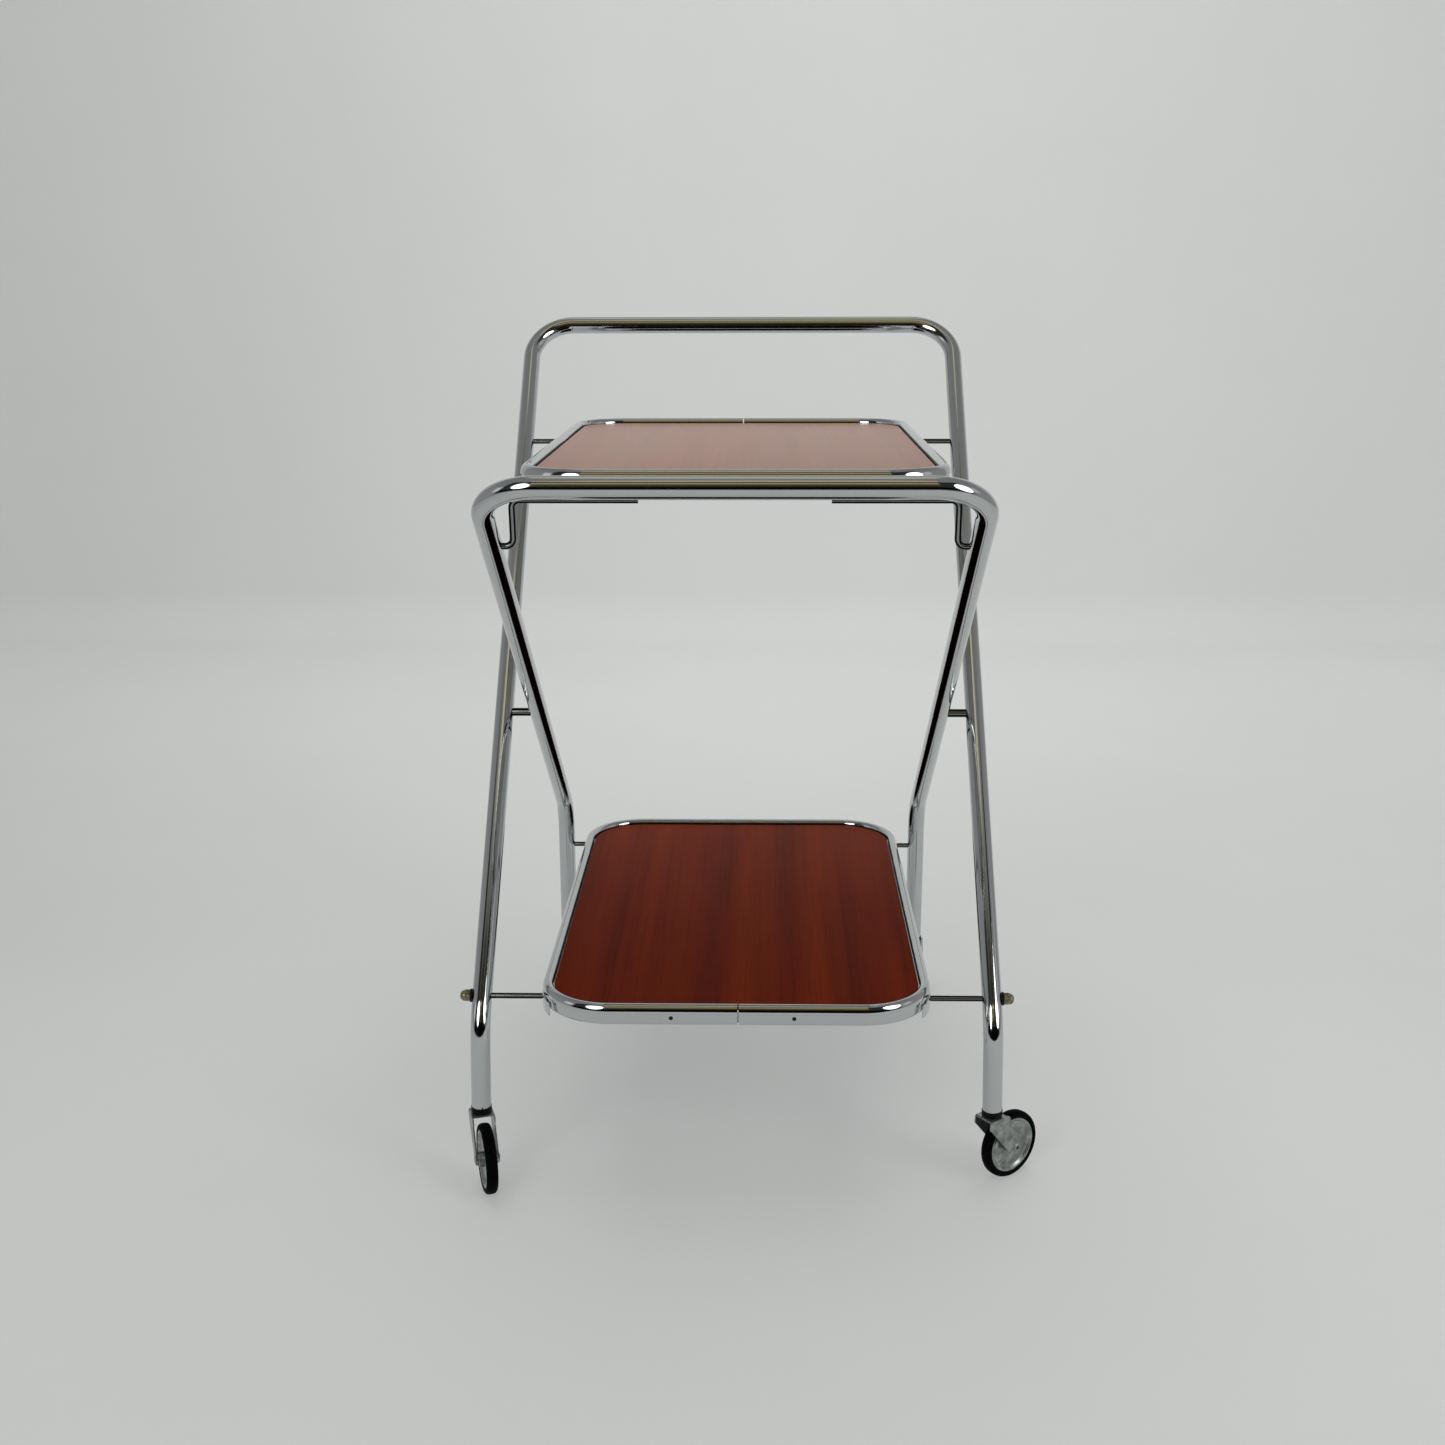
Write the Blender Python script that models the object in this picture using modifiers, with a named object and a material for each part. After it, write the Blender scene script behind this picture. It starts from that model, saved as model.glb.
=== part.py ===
"""Folding serving trolley: two crossed tube frames, two trays and four castors.

Metres, +Z up, the handle at +Y, the origin on the floor below the middle of the bounding box.
"""
import math

import bmesh
import bpy
from mathutils import Matrix, Vector

# Driving dimensions
TUBE_D = 0.018
INNER_SPAN = 0.3951
PIVOT_HEIGHT = 0.3918
LOWER_TRAY_TOP = 0.1965
UPPER_TRAY_TOP = 0.6596
UPPER_TRAY_PITCH = math.radians(0.47)
HANDLE_RISE = 0.0939
OUTER_LEAN = math.radians(41.67)
INNER_LEAN = math.radians(51.28)
WHEEL_D = 0.0640

# Clearances
GAP = 0.0003
RUN = 0.0003
FRAME_GAP = 0.01635
TRAY_SIDE_GAP = 0.01355
TYRE_CLEARANCE = 0.0022

# Heights and spans that follow from them
REAR_ROD_DROP = 0.0241
INNER_BAR_DROP = 0.0047
TRAY_PIN_DROP = 0.0135
FRONT_ROD_BELOW_PIN = 0.0082
INNER_KNEE_ABOVE_PIN = 0.0446
OUTER_KNEE_BELOW_ROD = 0.0199
BUSH_SHOULDER = 0.0065
FORK_T = 0.0013
OUTER_SPAN = INNER_SPAN + 2 * (TUBE_D + FRAME_GAP)
TRAY_WIDTH = INNER_SPAN - TUBE_D - 2 * TRAY_SIDE_GAP
REAR_ROD_HEIGHT = UPPER_TRAY_TOP - REAR_ROD_DROP
INNER_BAR_HEIGHT = UPPER_TRAY_TOP - INNER_BAR_DROP
HANDLE_HEIGHT = UPPER_TRAY_TOP + HANDLE_RISE
TRAY_PIN_HEIGHT = LOWER_TRAY_TOP - TRAY_PIN_DROP
FRONT_ROD_HEIGHT = TRAY_PIN_HEIGHT - FRONT_ROD_BELOW_PIN
INNER_KNEE_HEIGHT = TRAY_PIN_HEIGHT + INNER_KNEE_ABOVE_PIN
OUTER_KNEE_HEIGHT = FRONT_ROD_HEIGHT - OUTER_KNEE_BELOW_ROD
FORK_TOP = WHEEL_D + TYRE_CLEARANCE + FORK_T
STEM_END_HEIGHT = FORK_TOP + BUSH_SHOULDER

# Tube frames
TUBE_R = TUBE_D / 2
BEND_R = 0.045
KNEE_R = 0.060
STEM_SPLAY = 0.0019
TUBE_RES = 5
ARC_STEP = math.radians(9)
OUTER_X = OUTER_SPAN / 2
INNER_X = INNER_SPAN / 2
HANDLE_Y = (HANDLE_HEIGHT - PIVOT_HEIGHT) * math.tan(OUTER_LEAN)
OUTER_STEM_Y = (OUTER_KNEE_HEIGHT - PIVOT_HEIGHT) * math.tan(OUTER_LEAN)
INNER_BAR_Y = -(INNER_BAR_HEIGHT - PIVOT_HEIGHT) * math.tan(INNER_LEAN)
INNER_STEM_Y = (PIVOT_HEIGHT - INNER_KNEE_HEIGHT) * math.tan(INNER_LEAN)
PIVOT_Y = -(HANDLE_Y + INNER_BAR_Y) / 2

# Rods, pins and nuts
ROD_R = 0.0026
PIVOT_R = 0.004
TRAY_PIN_R = 0.0025
TRAY_PIN_HEAD_R = 0.0045
TRAY_PIN_HEAD_T = 0.0015
NUT_ACROSS = 0.0102
NUT_HEX_T = 0.0044
NUT_LENGTH = 0.0094
NUT_DOME_SHARE = 0.46
NUT_DOME_STEPS = 6
WASHER_R = 0.0062
WASHER_T = 0.0012
THREAD_SHARE = 0.62
ROD_STEPS = 14

# Trays
LOWER_RIM_HEIGHT = 0.0182
UPPER_RIM_HEIGHT = 0.0240
SHEET_T = 0.0012
BEAD_R = 0.0048
BEAD_OUT = 0.0010
BEAD_STEPS = 6
BEAD_UNDER = 0.0007
PANEL_DROP = 0.0050
PANEL_T = 0.0032
PANEL_GAP = 0.0009
LEDGE_W = 0.0080
LOWER_TRAY_CORNER = 0.064
UPPER_TRAY_CORNER = 0.056
CORNER_STEPS = 7
SEAM_GAP = 0.0005
SEAM_X = 0.0024
LOWER_FRONT_OVERHANG = 0.0681
LOWER_REAR_OVERHANG = 0.0560
UPPER_BAR_GAP = 0.0400
UPPER_REAR_OVERHANG = 0.0111
STRIP_H = 0.0090
STRIP_T = 0.0010
RIVET_SPACING = 0.1075
STRIP_END = 0.01125
STRIP_LENGTH = RIVET_SPACING + 2 * STRIP_END
RIVET_X = -0.0023
RIVET_R = 0.0016
RIVET_HEAD_R = 0.0028
RIVET_HEAD_T = 0.0008

# Tray lugs and wire supports
EAR_T = 0.0015
EAR_R = 0.0060
EAR_INSET = 0.050
EAR_ROOT = 0.0080
EAR_STEPS = 5
ROD_SLOT_R = 0.0045
HOOK_T = 0.0013
HOOK_UP = 0.0095
HOOK_DOWN = 0.0024
HOOK_REAR = 0.0070
HOOK_WRAP = math.radians(31)
HOOK_STEPS = 5
HOOK_MOUTH = math.radians(-62)
SLOT_STEPS = 8
WIRE_R = 0.00275
WIRE_BEND_R = 0.0065
WIRE_RES = 3
WIRE_SIDE = 0.0045
WIRE_INSET = 0.0975
WIRE_FOOT_DROP = 0.0564
WIRE_BEHIND_BAR = 0.0661
WIRE_X = TRAY_WIDTH / 2 + WIRE_SIDE
WIRE_INNER_X = TRAY_WIDTH / 2 - WIRE_INSET
WIRE_FOOT_HEIGHT = INNER_BAR_HEIGHT - WIRE_FOOT_DROP

# Castors
TRAIL = 0.0235
WHEEL_R = WHEEL_D / 2
TYRE_W = 0.0114
TYRE_DEPTH = 0.0057
TYRE_ROUND_SHARES = ((0.60, 0.96), (0.26, 0.80), (0.0, 0.42))
HUB_R = WHEEL_R - TYRE_DEPTH
HUB_BOSS_R = 0.0070
HUB_LIP = 0.0020
HUB_SLOPE = 0.0022
HUB_WEB_W = 0.0050
HUB_RIM_W = 0.0096
AXLE_R = 0.0030
AXLE_HEAD_R = 0.0044
AXLE_HEAD_T = 0.0007
AXLE_HOLE_R = 0.0018
AXLE_HOLE_DEPTH = 0.0016
FORK_W = 0.0210
FORK_FRONT = 0.0145
FORK_BACK = 0.0108
FORK_BACK_LOW = 0.0118
FORK_BACK_DEPTH = 0.0075
FORK_NOTCH = 0.0098
FORK_NECK = 0.0135
FORK_NECK_DEPTH = 0.0095
FORK_END_R = 0.0080
FORK_END_SHARES = ((-0.50, -1.05), (0.90, -0.20))
FORK_ROUND = 0.0020
FORK_LOBE_R = 0.0040
FORK_ELBOW_R = 0.0060
FORK_CORNER_STEPS = 4
COLLAR_STEP = 0.0005
COLLAR_R = TUBE_R + COLLAR_STEP
COLLAR_LIP = 0.0012
COLLAR_SPIGOT = 0.0200
COLLAR_WALL = 0.0014
SWIVEL_R = 0.0040
SWIVEL_FLANGE_R = 0.0070
WHEEL_STEPS = 30
TURN_STEPS = 20

CASTORS = (
    ("front_left", -OUTER_X - STEM_SPLAY, OUTER_STEM_Y, math.radians(198)),
    ("front_right", OUTER_X + STEM_SPLAY, OUTER_STEM_Y, math.radians(-52.5)),
    ("rear_left", -INNER_X, INNER_STEM_Y, math.radians(-12)),
    ("rear_right", INNER_X, INNER_STEM_Y, math.radians(-10)),
)

# Colours: base colour, roughness, metallic
CHROME = ((0.80, 0.80, 0.80), 0.08, 1.0)
ZINC = ((0.55, 0.55, 0.54), 0.35, 1.0)
DULL_STEEL = ((0.40, 0.40, 0.40), 0.45, 1.0)
LAMINATE = ((0.16, 0.035, 0.018), 0.25, 0.0)
BLACK_PLASTIC = ((0.012, 0.012, 0.012), 0.45, 0.0)
RUBBER = ((0.010, 0.010, 0.010), 0.60, 0.0)


def clear_scene():
    """Remove the default objects."""
    for old in list(bpy.data.objects):
        bpy.data.objects.remove(old, do_unlink=True)


def collection(name):
    """A collection linked to the scene."""
    made = bpy.data.collections.new(name)
    bpy.context.scene.collection.children.link(made)
    return made


clear_scene()
PARTS = collection("folding_serving_trolley")
CUTTERS = collection("cutters")


def finish(obj, look):
    """Give the object its own material and smooth shading."""
    colour, roughness, metallic = look
    made = bpy.data.materials.new(obj.name)
    made.use_nodes = True
    shader = made.node_tree.nodes["Principled BSDF"]
    shader.inputs["Base Color"].default_value = (*colour, 1.0)
    shader.inputs["Roughness"].default_value = roughness
    shader.inputs["Metallic"].default_value = metallic
    made.diffuse_color = (*colour, 1.0)
    obj.data.materials.clear()
    obj.data.materials.append(made)
    if obj.type == "MESH":
        obj.data.set_sharp_from_angle(angle=math.radians(35))
    return obj


def mesh_object(name, build, group=None):
    """An object from a bmesh that the function build fills."""
    work = bmesh.new()
    build(work)
    bmesh.ops.recalc_face_normals(work, faces=work.faces)
    mesh = bpy.data.meshes.new(name)
    work.to_mesh(mesh)
    work.free()
    mesh.polygons.foreach_set("use_smooth", [True] * len(mesh.polygons))
    obj = bpy.data.objects.new(name, mesh)
    (group or PARTS).objects.link(obj)
    return obj


def place(obj, at, axis=None, turn=0.0):
    """Set the object's place, its own Z along an axis, and a turn about world Z."""
    basis = Matrix.Identity(4)
    if axis is not None:
        basis = Vector((0, 0, 1)).rotation_difference(Vector(axis)).to_matrix().to_4x4()
    obj.matrix_world = Matrix.Translation(Vector(at)) @ Matrix.Rotation(turn, 4, "Z") @ basis
    return obj


def turned(name, profile, steps, group=None):
    """A turned solid: the profile runs from top to bottom at +X and is spun about Z."""
    def build(work):
        spots = [work.verts.new((radius, 0, height)) for radius, height in profile]
        closed = profile[0][0] > 0 and profile[-1][0] > 0
        ends = zip(spots, spots[1:] + spots[:1]) if closed else zip(spots, spots[1:])
        for first, second in ends:
            work.edges.new((first, second))

    obj = mesh_object(name, build, group)
    screw = obj.modifiers.new("Screw", "SCREW")
    screw.axis = "Z"
    screw.steps = steps
    screw.render_steps = steps
    screw.use_merge_vertices = True
    screw.merge_threshold = 0.00001
    screw.use_smooth_shade = True
    return obj


def bar(radius, low, high):
    """The profile of a plain round bar along Z."""
    return [(0, high), (radius, high), (radius, low), (0, low)]


def fillet(points, radii):
    """A polyline whose corners are rounded by arcs of the given radii."""
    spots = [Vector(point) for point in points]
    path = [spots[0]]
    for before, corner, after, radius in zip(spots, spots[1:], spots[2:], radii):
        back = (before - corner).normalized()
        ahead = (after - corner).normalized()
        bend = math.pi - back.angle(ahead)
        reach = radius * math.tan(bend / 2)
        middle = corner + (back + ahead).normalized() * (radius / math.cos(bend / 2))
        start = corner + back * reach
        axis = (start - middle).cross(corner + ahead * reach - middle).normalized()
        count = max(3, math.ceil(bend / ARC_STEP))
        for step in range(count + 1):
            path.append(middle + Matrix.Rotation(bend * step / count, 3, axis) @ (start - middle))
    path.append(spots[-1])
    return path


def pipe(name, path, radius, resolution=TUBE_RES):
    """A round tube or wire along a path, as a mesh with welded end caps."""
    curve = bpy.data.curves.new(name, "CURVE")
    curve.dimensions = "3D"
    spline = curve.splines.new("POLY")
    spline.points.add(len(path) - 1)
    for point, spot in zip(spline.points, path):
        point.co = (*spot, 1)
    spline.use_smooth = True
    curve.bevel_depth = radius
    curve.bevel_resolution = resolution
    curve.use_fill_caps = True
    holder = bpy.data.objects.new(name + "_path", curve)
    PARTS.objects.link(holder)
    bpy.context.view_layer.update()
    evaluated = holder.evaluated_get(bpy.context.evaluated_depsgraph_get())
    mesh = bpy.data.meshes.new_from_object(evaluated)
    work = bmesh.new()
    work.from_mesh(mesh)
    bmesh.ops.remove_doubles(work, verts=work.verts, dist=GAP / 10)
    bmesh.ops.recalc_face_normals(work, faces=work.faces)
    work.to_mesh(mesh)
    work.free()
    mesh.name = name
    mesh.polygons.foreach_set("use_smooth", [True] * len(mesh.polygons))
    obj = bpy.data.objects.new(name, mesh)
    obj.matrix_world = holder.matrix_world.copy()
    PARTS.objects.link(obj)
    bpy.data.objects.remove(holder, do_unlink=True)
    return obj


def boolean(obj, cutter, operation="DIFFERENCE"):
    """Cut or join with another object, which moves to the cutters."""
    cutter.hide_render = True
    cutter.display_type = "WIRE"
    step = obj.modifiers.new(cutter.name, "BOOLEAN")
    step.operation = operation
    step.solver = "EXACT"
    step.object = cutter


def drill(obj, name, at, axis, radius, length, steps=ROD_STEPS):
    """Bore a round hole that starts at a place and runs along an axis."""
    cutter = turned(name, bar(radius, 0, length), steps, CUTTERS)
    place(cutter, at, axis)
    boolean(obj, cutter)


def extruded(name, outline, low, high, group=None):
    """A flat outline in XY made thick from one height to another."""
    def build(work):
        bottom = [work.verts.new((x, y, low)) for x, y in outline]
        top = [work.verts.new((x, y, high)) for x, y in outline]
        work.faces.new(bottom)
        work.faces.new(top)
        count = len(outline)
        for index in range(count):
            other = (index + 1) % count
            work.faces.new((bottom[index], bottom[other], top[other], top[index]))

    return mesh_object(name, build, group)


def box(name, low, high, group=None):
    """A block between two corners."""
    outline = [(low[0], low[1]), (high[0], low[1]), (high[0], high[1]), (low[0], high[1])]
    return extruded(name, outline, low[2], high[2], group)


def round_corners(points, radii, steps):
    """A closed flat outline with rounded corners."""
    outline = []
    count = len(points)
    for index in range(count):
        corner = Vector(points[index])
        back = (Vector(points[index - 1]) - corner).normalized()
        ahead = (Vector(points[(index + 1) % count]) - corner).normalized()
        radius = radii[index]
        half = back.angle(ahead) / 2
        reach = radius / math.tan(half)
        middle = corner + (back + ahead).normalized() * (radius / math.sin(half))
        start = corner + back * reach - middle
        finish_at = corner + ahead * reach - middle
        sweep = math.atan2(start.x * finish_at.y - start.y * finish_at.x, start.dot(finish_at))
        for step in range(steps + 1):
            spot = middle + Matrix.Rotation(sweep * step / steps, 2) @ start
            outline.append((spot.x, spot.y))
    return outline


# Tube frames
def frame_path(half, splay, bar_y, bar_z, stem_y, knee_z):
    """The centre line of one bent tube: stem, leg, cross bar, leg and stem."""
    points = [
        (-half - splay, stem_y, STEM_END_HEIGHT),
        (-half, stem_y, knee_z),
        (-half, bar_y, bar_z),
        (half, bar_y, bar_z),
        (half, stem_y, knee_z),
        (half + splay, stem_y, STEM_END_HEIGHT),
    ]
    radii = (KNEE_R, BEND_R, BEND_R, KNEE_R)
    moved = [(x, y + PIVOT_Y, z) for x, y, z in points]
    return fillet(moved, radii)


def bore_stems(obj, half, stem_y):
    """Bore the two stem ends for the castor bushes."""
    for side, sign in (("left", -1), ("right", 1)):
        drill(obj, f"{obj.name}_stem_bore_{side}", (sign * half, stem_y + PIVOT_Y, STEM_END_HEIGHT - GAP),
              (0, 0, 1), TUBE_R - COLLAR_WALL, COLLAR_SPIGOT + GAP)


outer_path = frame_path(OUTER_X, STEM_SPLAY, HANDLE_Y, HANDLE_HEIGHT, OUTER_STEM_Y, OUTER_KNEE_HEIGHT)
outer = pipe("outer_frame_tube", outer_path, TUBE_R)
inner_path = frame_path(INNER_X, 0, INNER_BAR_Y, INNER_BAR_HEIGHT, INNER_STEM_Y, INNER_KNEE_HEIGHT)
inner = pipe("inner_frame_tube", inner_path, TUBE_R)
bore_stems(outer, OUTER_X + STEM_SPLAY, OUTER_STEM_Y)
bore_stems(inner, INNER_X, INNER_STEM_Y)


def leg_y(height):
    """The Y of the outer leg's centre line at a height."""
    return PIVOT_Y + (height - PIVOT_HEIGHT) * math.tan(OUTER_LEAN)


# Pivot pins
for side, sign in (("left", -1), ("right", 1)):
    spot = (sign * INNER_X, PIVOT_Y, PIVOT_HEIGHT)
    drill(outer, f"outer_pivot_bore_{side}", spot, (sign, 0, 0), PIVOT_R + GAP, OUTER_X - INNER_X + GAP)
    drill(inner, f"inner_pivot_bore_{side}", (spot[0] - sign * GAP, spot[1], spot[2]), (sign, 0, 0),
          PIVOT_R + RUN, TUBE_D)
    pin = turned(f"pivot_pin_{side}", bar(PIVOT_R, 0, OUTER_X - INNER_X), TURN_STEPS)
    place(pin, spot, (sign, 0, 0))
    finish(pin, CHROME)

# Cross rods, nuts and washers
REAR_ROD_Y = leg_y(REAR_ROD_HEIGHT)
FRONT_ROD_Y = leg_y(FRONT_ROD_HEIGHT)
rear_rod = turned("rear_rod", bar(ROD_R, -OUTER_X, OUTER_X), ROD_STEPS)
place(rear_rod, (0, REAR_ROD_Y, REAR_ROD_HEIGHT), (1, 0, 0))
finish(rear_rod, CHROME)
drill(outer, "rear_rod_bore", (-OUTER_X - GAP, REAR_ROD_Y, REAR_ROD_HEIGHT), (1, 0, 0), ROD_R + GAP,
      OUTER_SPAN + 2 * GAP)

ROD_REACH = OUTER_X + TUBE_R + GAP + WASHER_T + GAP + NUT_LENGTH * THREAD_SHARE
front_rod = turned("front_rod", bar(ROD_R, -ROD_REACH, ROD_REACH), ROD_STEPS)
place(front_rod, (0, FRONT_ROD_Y, FRONT_ROD_HEIGHT), (1, 0, 0))
finish(front_rod, CHROME)
drill(outer, "front_rod_bore", (-ROD_REACH, FRONT_ROD_Y, FRONT_ROD_HEIGHT), (1, 0, 0), ROD_R + GAP,
      2 * ROD_REACH)
for side, sign in (("left", -1), ("right", 1)):
    seat = OUTER_X + TUBE_R + GAP
    washer = turned(f"rod_washer_{side}", [
        (ROD_R + GAP, WASHER_T), (WASHER_R, WASHER_T), (WASHER_R, 0), (ROD_R + GAP, 0)], TURN_STEPS)
    place(washer, (sign * seat, FRONT_ROD_Y, FRONT_ROD_HEIGHT), (sign, 0, 0))
    finish(washer, BLACK_PLASTIC)
    base = seat + WASHER_T + GAP
    hex_r = NUT_ACROSS / 2 / math.cos(math.pi / 6)
    dome_r = NUT_ACROSS / 2 * (1 - GAP / NUT_ACROSS)
    corners = [k * math.pi / 3 for k in range(6)]
    hexagon = [(hex_r * math.cos(angle), hex_r * math.sin(angle)) for angle in corners]
    nut = extruded(f"acorn_nut_{side}", hexagon, 0, NUT_HEX_T)
    rise = NUT_LENGTH * NUT_DOME_SHARE
    dome = [(0, NUT_LENGTH)]
    for step in range(1, NUT_DOME_STEPS + 1):
        angle = math.pi / 2 * step / NUT_DOME_STEPS
        dome.append((dome_r * math.sin(angle), NUT_LENGTH - rise + rise * math.cos(angle)))
    dome += [(dome_r, NUT_HEX_T / 2), (0, NUT_HEX_T / 2)]
    cap = turned(f"acorn_nut_dome_{side}", dome, TURN_STEPS, CUTTERS)
    thread = bar(ROD_R + GAP, -GAP, NUT_LENGTH * THREAD_SHARE + GAP)
    hole = turned(f"acorn_nut_bore_{side}", thread, ROD_STEPS, CUTTERS)
    for piece in (nut, cap, hole):
        place(piece, (sign * base, FRONT_ROD_Y, FRONT_ROD_HEIGHT), (sign, 0, 0))
    boolean(nut, cap, "UNION")
    boolean(nut, hole)
    finish(nut, DULL_STEEL)


# Trays
def tray_loop(length, width, corner):
    """Corner centres and directions round a tray, from the seam at the front middle."""
    spots = []
    half_x = width / 2 - corner
    half_y = length / 2 - corner
    corners = ((1, -1, -90), (1, 1, 0), (-1, 1, 90), (-1, -1, 180))
    for sign_x, sign_y, start in corners:
        for step in range(CORNER_STEPS + 1):
            angle = math.radians(start + 90 * step / CORNER_STEPS)
            spots.append((sign_x * half_x, sign_y * half_y, math.cos(angle), math.sin(angle)))
    return spots


def tray_rim(name, at, length, corner, height, seam_turn):
    """The folded sheet rim of a tray, open at its butt seam."""
    inner = -2 * BEAD_R
    skirt_in = -BEAD_OUT - SHEET_T
    ledge = -PANEL_DROP - PANEL_T - GAP
    profile = [(-BEAD_OUT, -height), (-BEAD_OUT, -BEAD_R - BEAD_UNDER)]
    for step in range(BEAD_STEPS + 1):
        angle = math.pi * step / BEAD_STEPS
        profile.append((BEAD_R * (math.cos(angle) - 1), BEAD_R * (math.sin(angle) - 1)))
    profile += [
        (inner, ledge), (inner - LEDGE_W, ledge), (inner - LEDGE_W, ledge - SHEET_T),
        (inner + SHEET_T, ledge - SHEET_T), (inner + SHEET_T, -BEAD_R), (-BEAD_R, -SHEET_T),
        (skirt_in, -BEAD_R), (skirt_in, -height),
    ]
    seam = seam_turn * SEAM_X
    loop = tray_loop(length, TRAY_WIDTH, corner)
    front = -(length / 2 - corner)
    loop = [(seam + SEAM_GAP / 2, front, 0, -1)] + loop + [(seam - SEAM_GAP / 2, front, 0, -1)]

    def build(work):
        rings = []
        for x, y, toward_x, toward_y in loop:
            spots = [(x + toward_x * (corner + out), y + toward_y * (corner + out), z) for out, z in profile]
            rings.append([work.verts.new(spot) for spot in spots])
        count = len(profile)
        for first, second in zip(rings, rings[1:]):
            for index in range(count):
                other = (index + 1) % count
                work.faces.new((first[index], first[other], second[other], second[index]))
        work.faces.new(rings[0])
        work.faces.new(rings[-1])

    obj = mesh_object(name, build)
    turn = 0 if seam_turn > 0 else math.pi
    return place(obj, at, turn=turn)


def tray_panel(name, at, length, corner):
    """The laminated board that lies in a tray's rim."""
    inset = 2 * BEAD_R + PANEL_GAP
    half_x = TRAY_WIDTH / 2 - inset
    half_y = length / 2 - inset
    points = [(half_x, -half_y), (half_x, half_y), (-half_x, half_y), (-half_x, -half_y)]
    outline = round_corners(points, [corner - inset] * len(points), CORNER_STEPS)
    obj = extruded(name, outline, -PANEL_DROP - PANEL_T, -PANEL_DROP)
    return place(obj, at)


PIN_Y = INNER_STEM_Y + PIVOT_Y
UPPER_REAR = REAR_ROD_Y + UPPER_REAR_OVERHANG
UPPER_FRONT = INNER_BAR_Y + PIVOT_Y + UPPER_BAR_GAP
LOWER_REAR = PIN_Y + LOWER_REAR_OVERHANG
LOWER_FRONT = FRONT_ROD_Y - LOWER_FRONT_OVERHANG
UPPER_Y = (UPPER_REAR + UPPER_FRONT) / 2
LOWER_Y = (LOWER_REAR + LOWER_FRONT) / 2
UPPER_TRAY_LENGTH = UPPER_REAR - UPPER_FRONT
LOWER_TRAY_LENGTH = LOWER_REAR - LOWER_FRONT
SKIRT_IN = BEAD_OUT + SHEET_T
LEDGE_UNDER = PANEL_DROP + PANEL_T + GAP + SHEET_T
TRAYS = (
    ("upper", UPPER_Y, UPPER_TRAY_TOP, UPPER_TRAY_LENGTH, UPPER_TRAY_CORNER, UPPER_RIM_HEIGHT, -1),
    ("lower", LOWER_Y, LOWER_TRAY_TOP, LOWER_TRAY_LENGTH, LOWER_TRAY_CORNER, LOWER_RIM_HEIGHT, 1),
)
RIMS = {}
for level, mid_y, top, length, corner, height, seam_turn in TRAYS:
    rim = tray_rim(f"{level}_tray_rim", (0, mid_y, top), length, corner, height, seam_turn)
    RIMS[level] = rim
    panel = tray_panel(f"{level}_tray_panel", (0, mid_y, top), length, corner)
    finish(panel, LAMINATE)
    skirt_mid = top - (BEAD_R + BEAD_UNDER + height) / 2
    face_y = mid_y - seam_turn * (length / 2 - BEAD_OUT)
    inward = seam_turn * (SHEET_T + GAP)
    strip_y = sorted((face_y + inward, face_y + inward + seam_turn * STRIP_T))
    strip_low = (RIVET_X - STRIP_LENGTH / 2, strip_y[0], skirt_mid - STRIP_H / 2)
    strip_high = (RIVET_X + STRIP_LENGTH / 2, strip_y[1], skirt_mid + STRIP_H / 2)
    strip = box(f"{level}_rim_joining_strip", strip_low, strip_high)
    for side, sign in (("left", -1), ("right", 1)):
        spot = (RIVET_X + sign * RIVET_SPACING / 2, face_y, skirt_mid)
        reach = SHEET_T + GAP + STRIP_T
        tail = reach + GAP + RIVET_HEAD_T
        head = GAP + RIVET_HEAD_T
        rivet = turned(f"{level}_rim_rivet_{side}", [
            (0, head), (RIVET_HEAD_R / 2, head), (RIVET_HEAD_R, GAP), (RIVET_R, GAP), (RIVET_R, -tail),
            (0, -tail)], ROD_STEPS)
        place(rivet, spot, (0, -seam_turn, 0))
        finish(rivet, DULL_STEEL)
        for target in (rim, strip):
            hole_at = (spot[0], spot[1] - seam_turn * GAP, spot[2])
            drill(target, f"{target.name}_rivet_hole_{side}", hole_at, (0, seam_turn, 0), RIVET_R + GAP,
                  tail + GAP)
    finish(strip, ZINC)

# Rear ears of the upper tray, turning on the rear rod
YZ_FACING = Matrix(((0, 0, 1), (1, 0, 0), (0, 1, 0))).to_4x4()
for side, sign in (("left", -1), ("right", 1)):
    root_z = UPPER_TRAY_TOP - LEDGE_UNDER - GAP - REAR_ROD_HEIGHT
    root_y = UPPER_REAR - 2 * BEAD_R - LEDGE_W / 2 - REAR_ROD_Y
    points = [(root_y - EAR_ROOT / 2, root_z), (-EAR_R, -EAR_R), (EAR_R, -EAR_R), (EAR_R, EAR_R / 2),
              (root_y + EAR_ROOT / 2, EAR_R), (root_y + EAR_ROOT / 2, root_z)]
    radii = [SHEET_T / 2, EAR_R - GAP, EAR_R - GAP, SHEET_T, SHEET_T, SHEET_T / 2]
    ear = extruded(f"upper_tray_ear_{side}", round_corners(points, radii, EAR_STEPS), -EAR_T / 2, EAR_T / 2)
    ear_x = sign * (TRAY_WIDTH / 2 - EAR_INSET)
    ear.matrix_world = Matrix.Translation((ear_x, REAR_ROD_Y, REAR_ROD_HEIGHT)) @ YZ_FACING
    drill(ear, f"upper_tray_ear_bore_{side}", (ear_x - EAR_T, REAR_ROD_Y, REAR_ROD_HEIGHT), (1, 0, 0),
          ROD_R + RUN, 2 * EAR_T)
    finish(ear, ZINC)

drill(RIMS["upper"], "upper_tray_rod_slot", (-OUTER_X, REAR_ROD_Y, REAR_ROD_HEIGHT), (1, 0, 0), ROD_SLOT_R,
      OUTER_SPAN)

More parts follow.
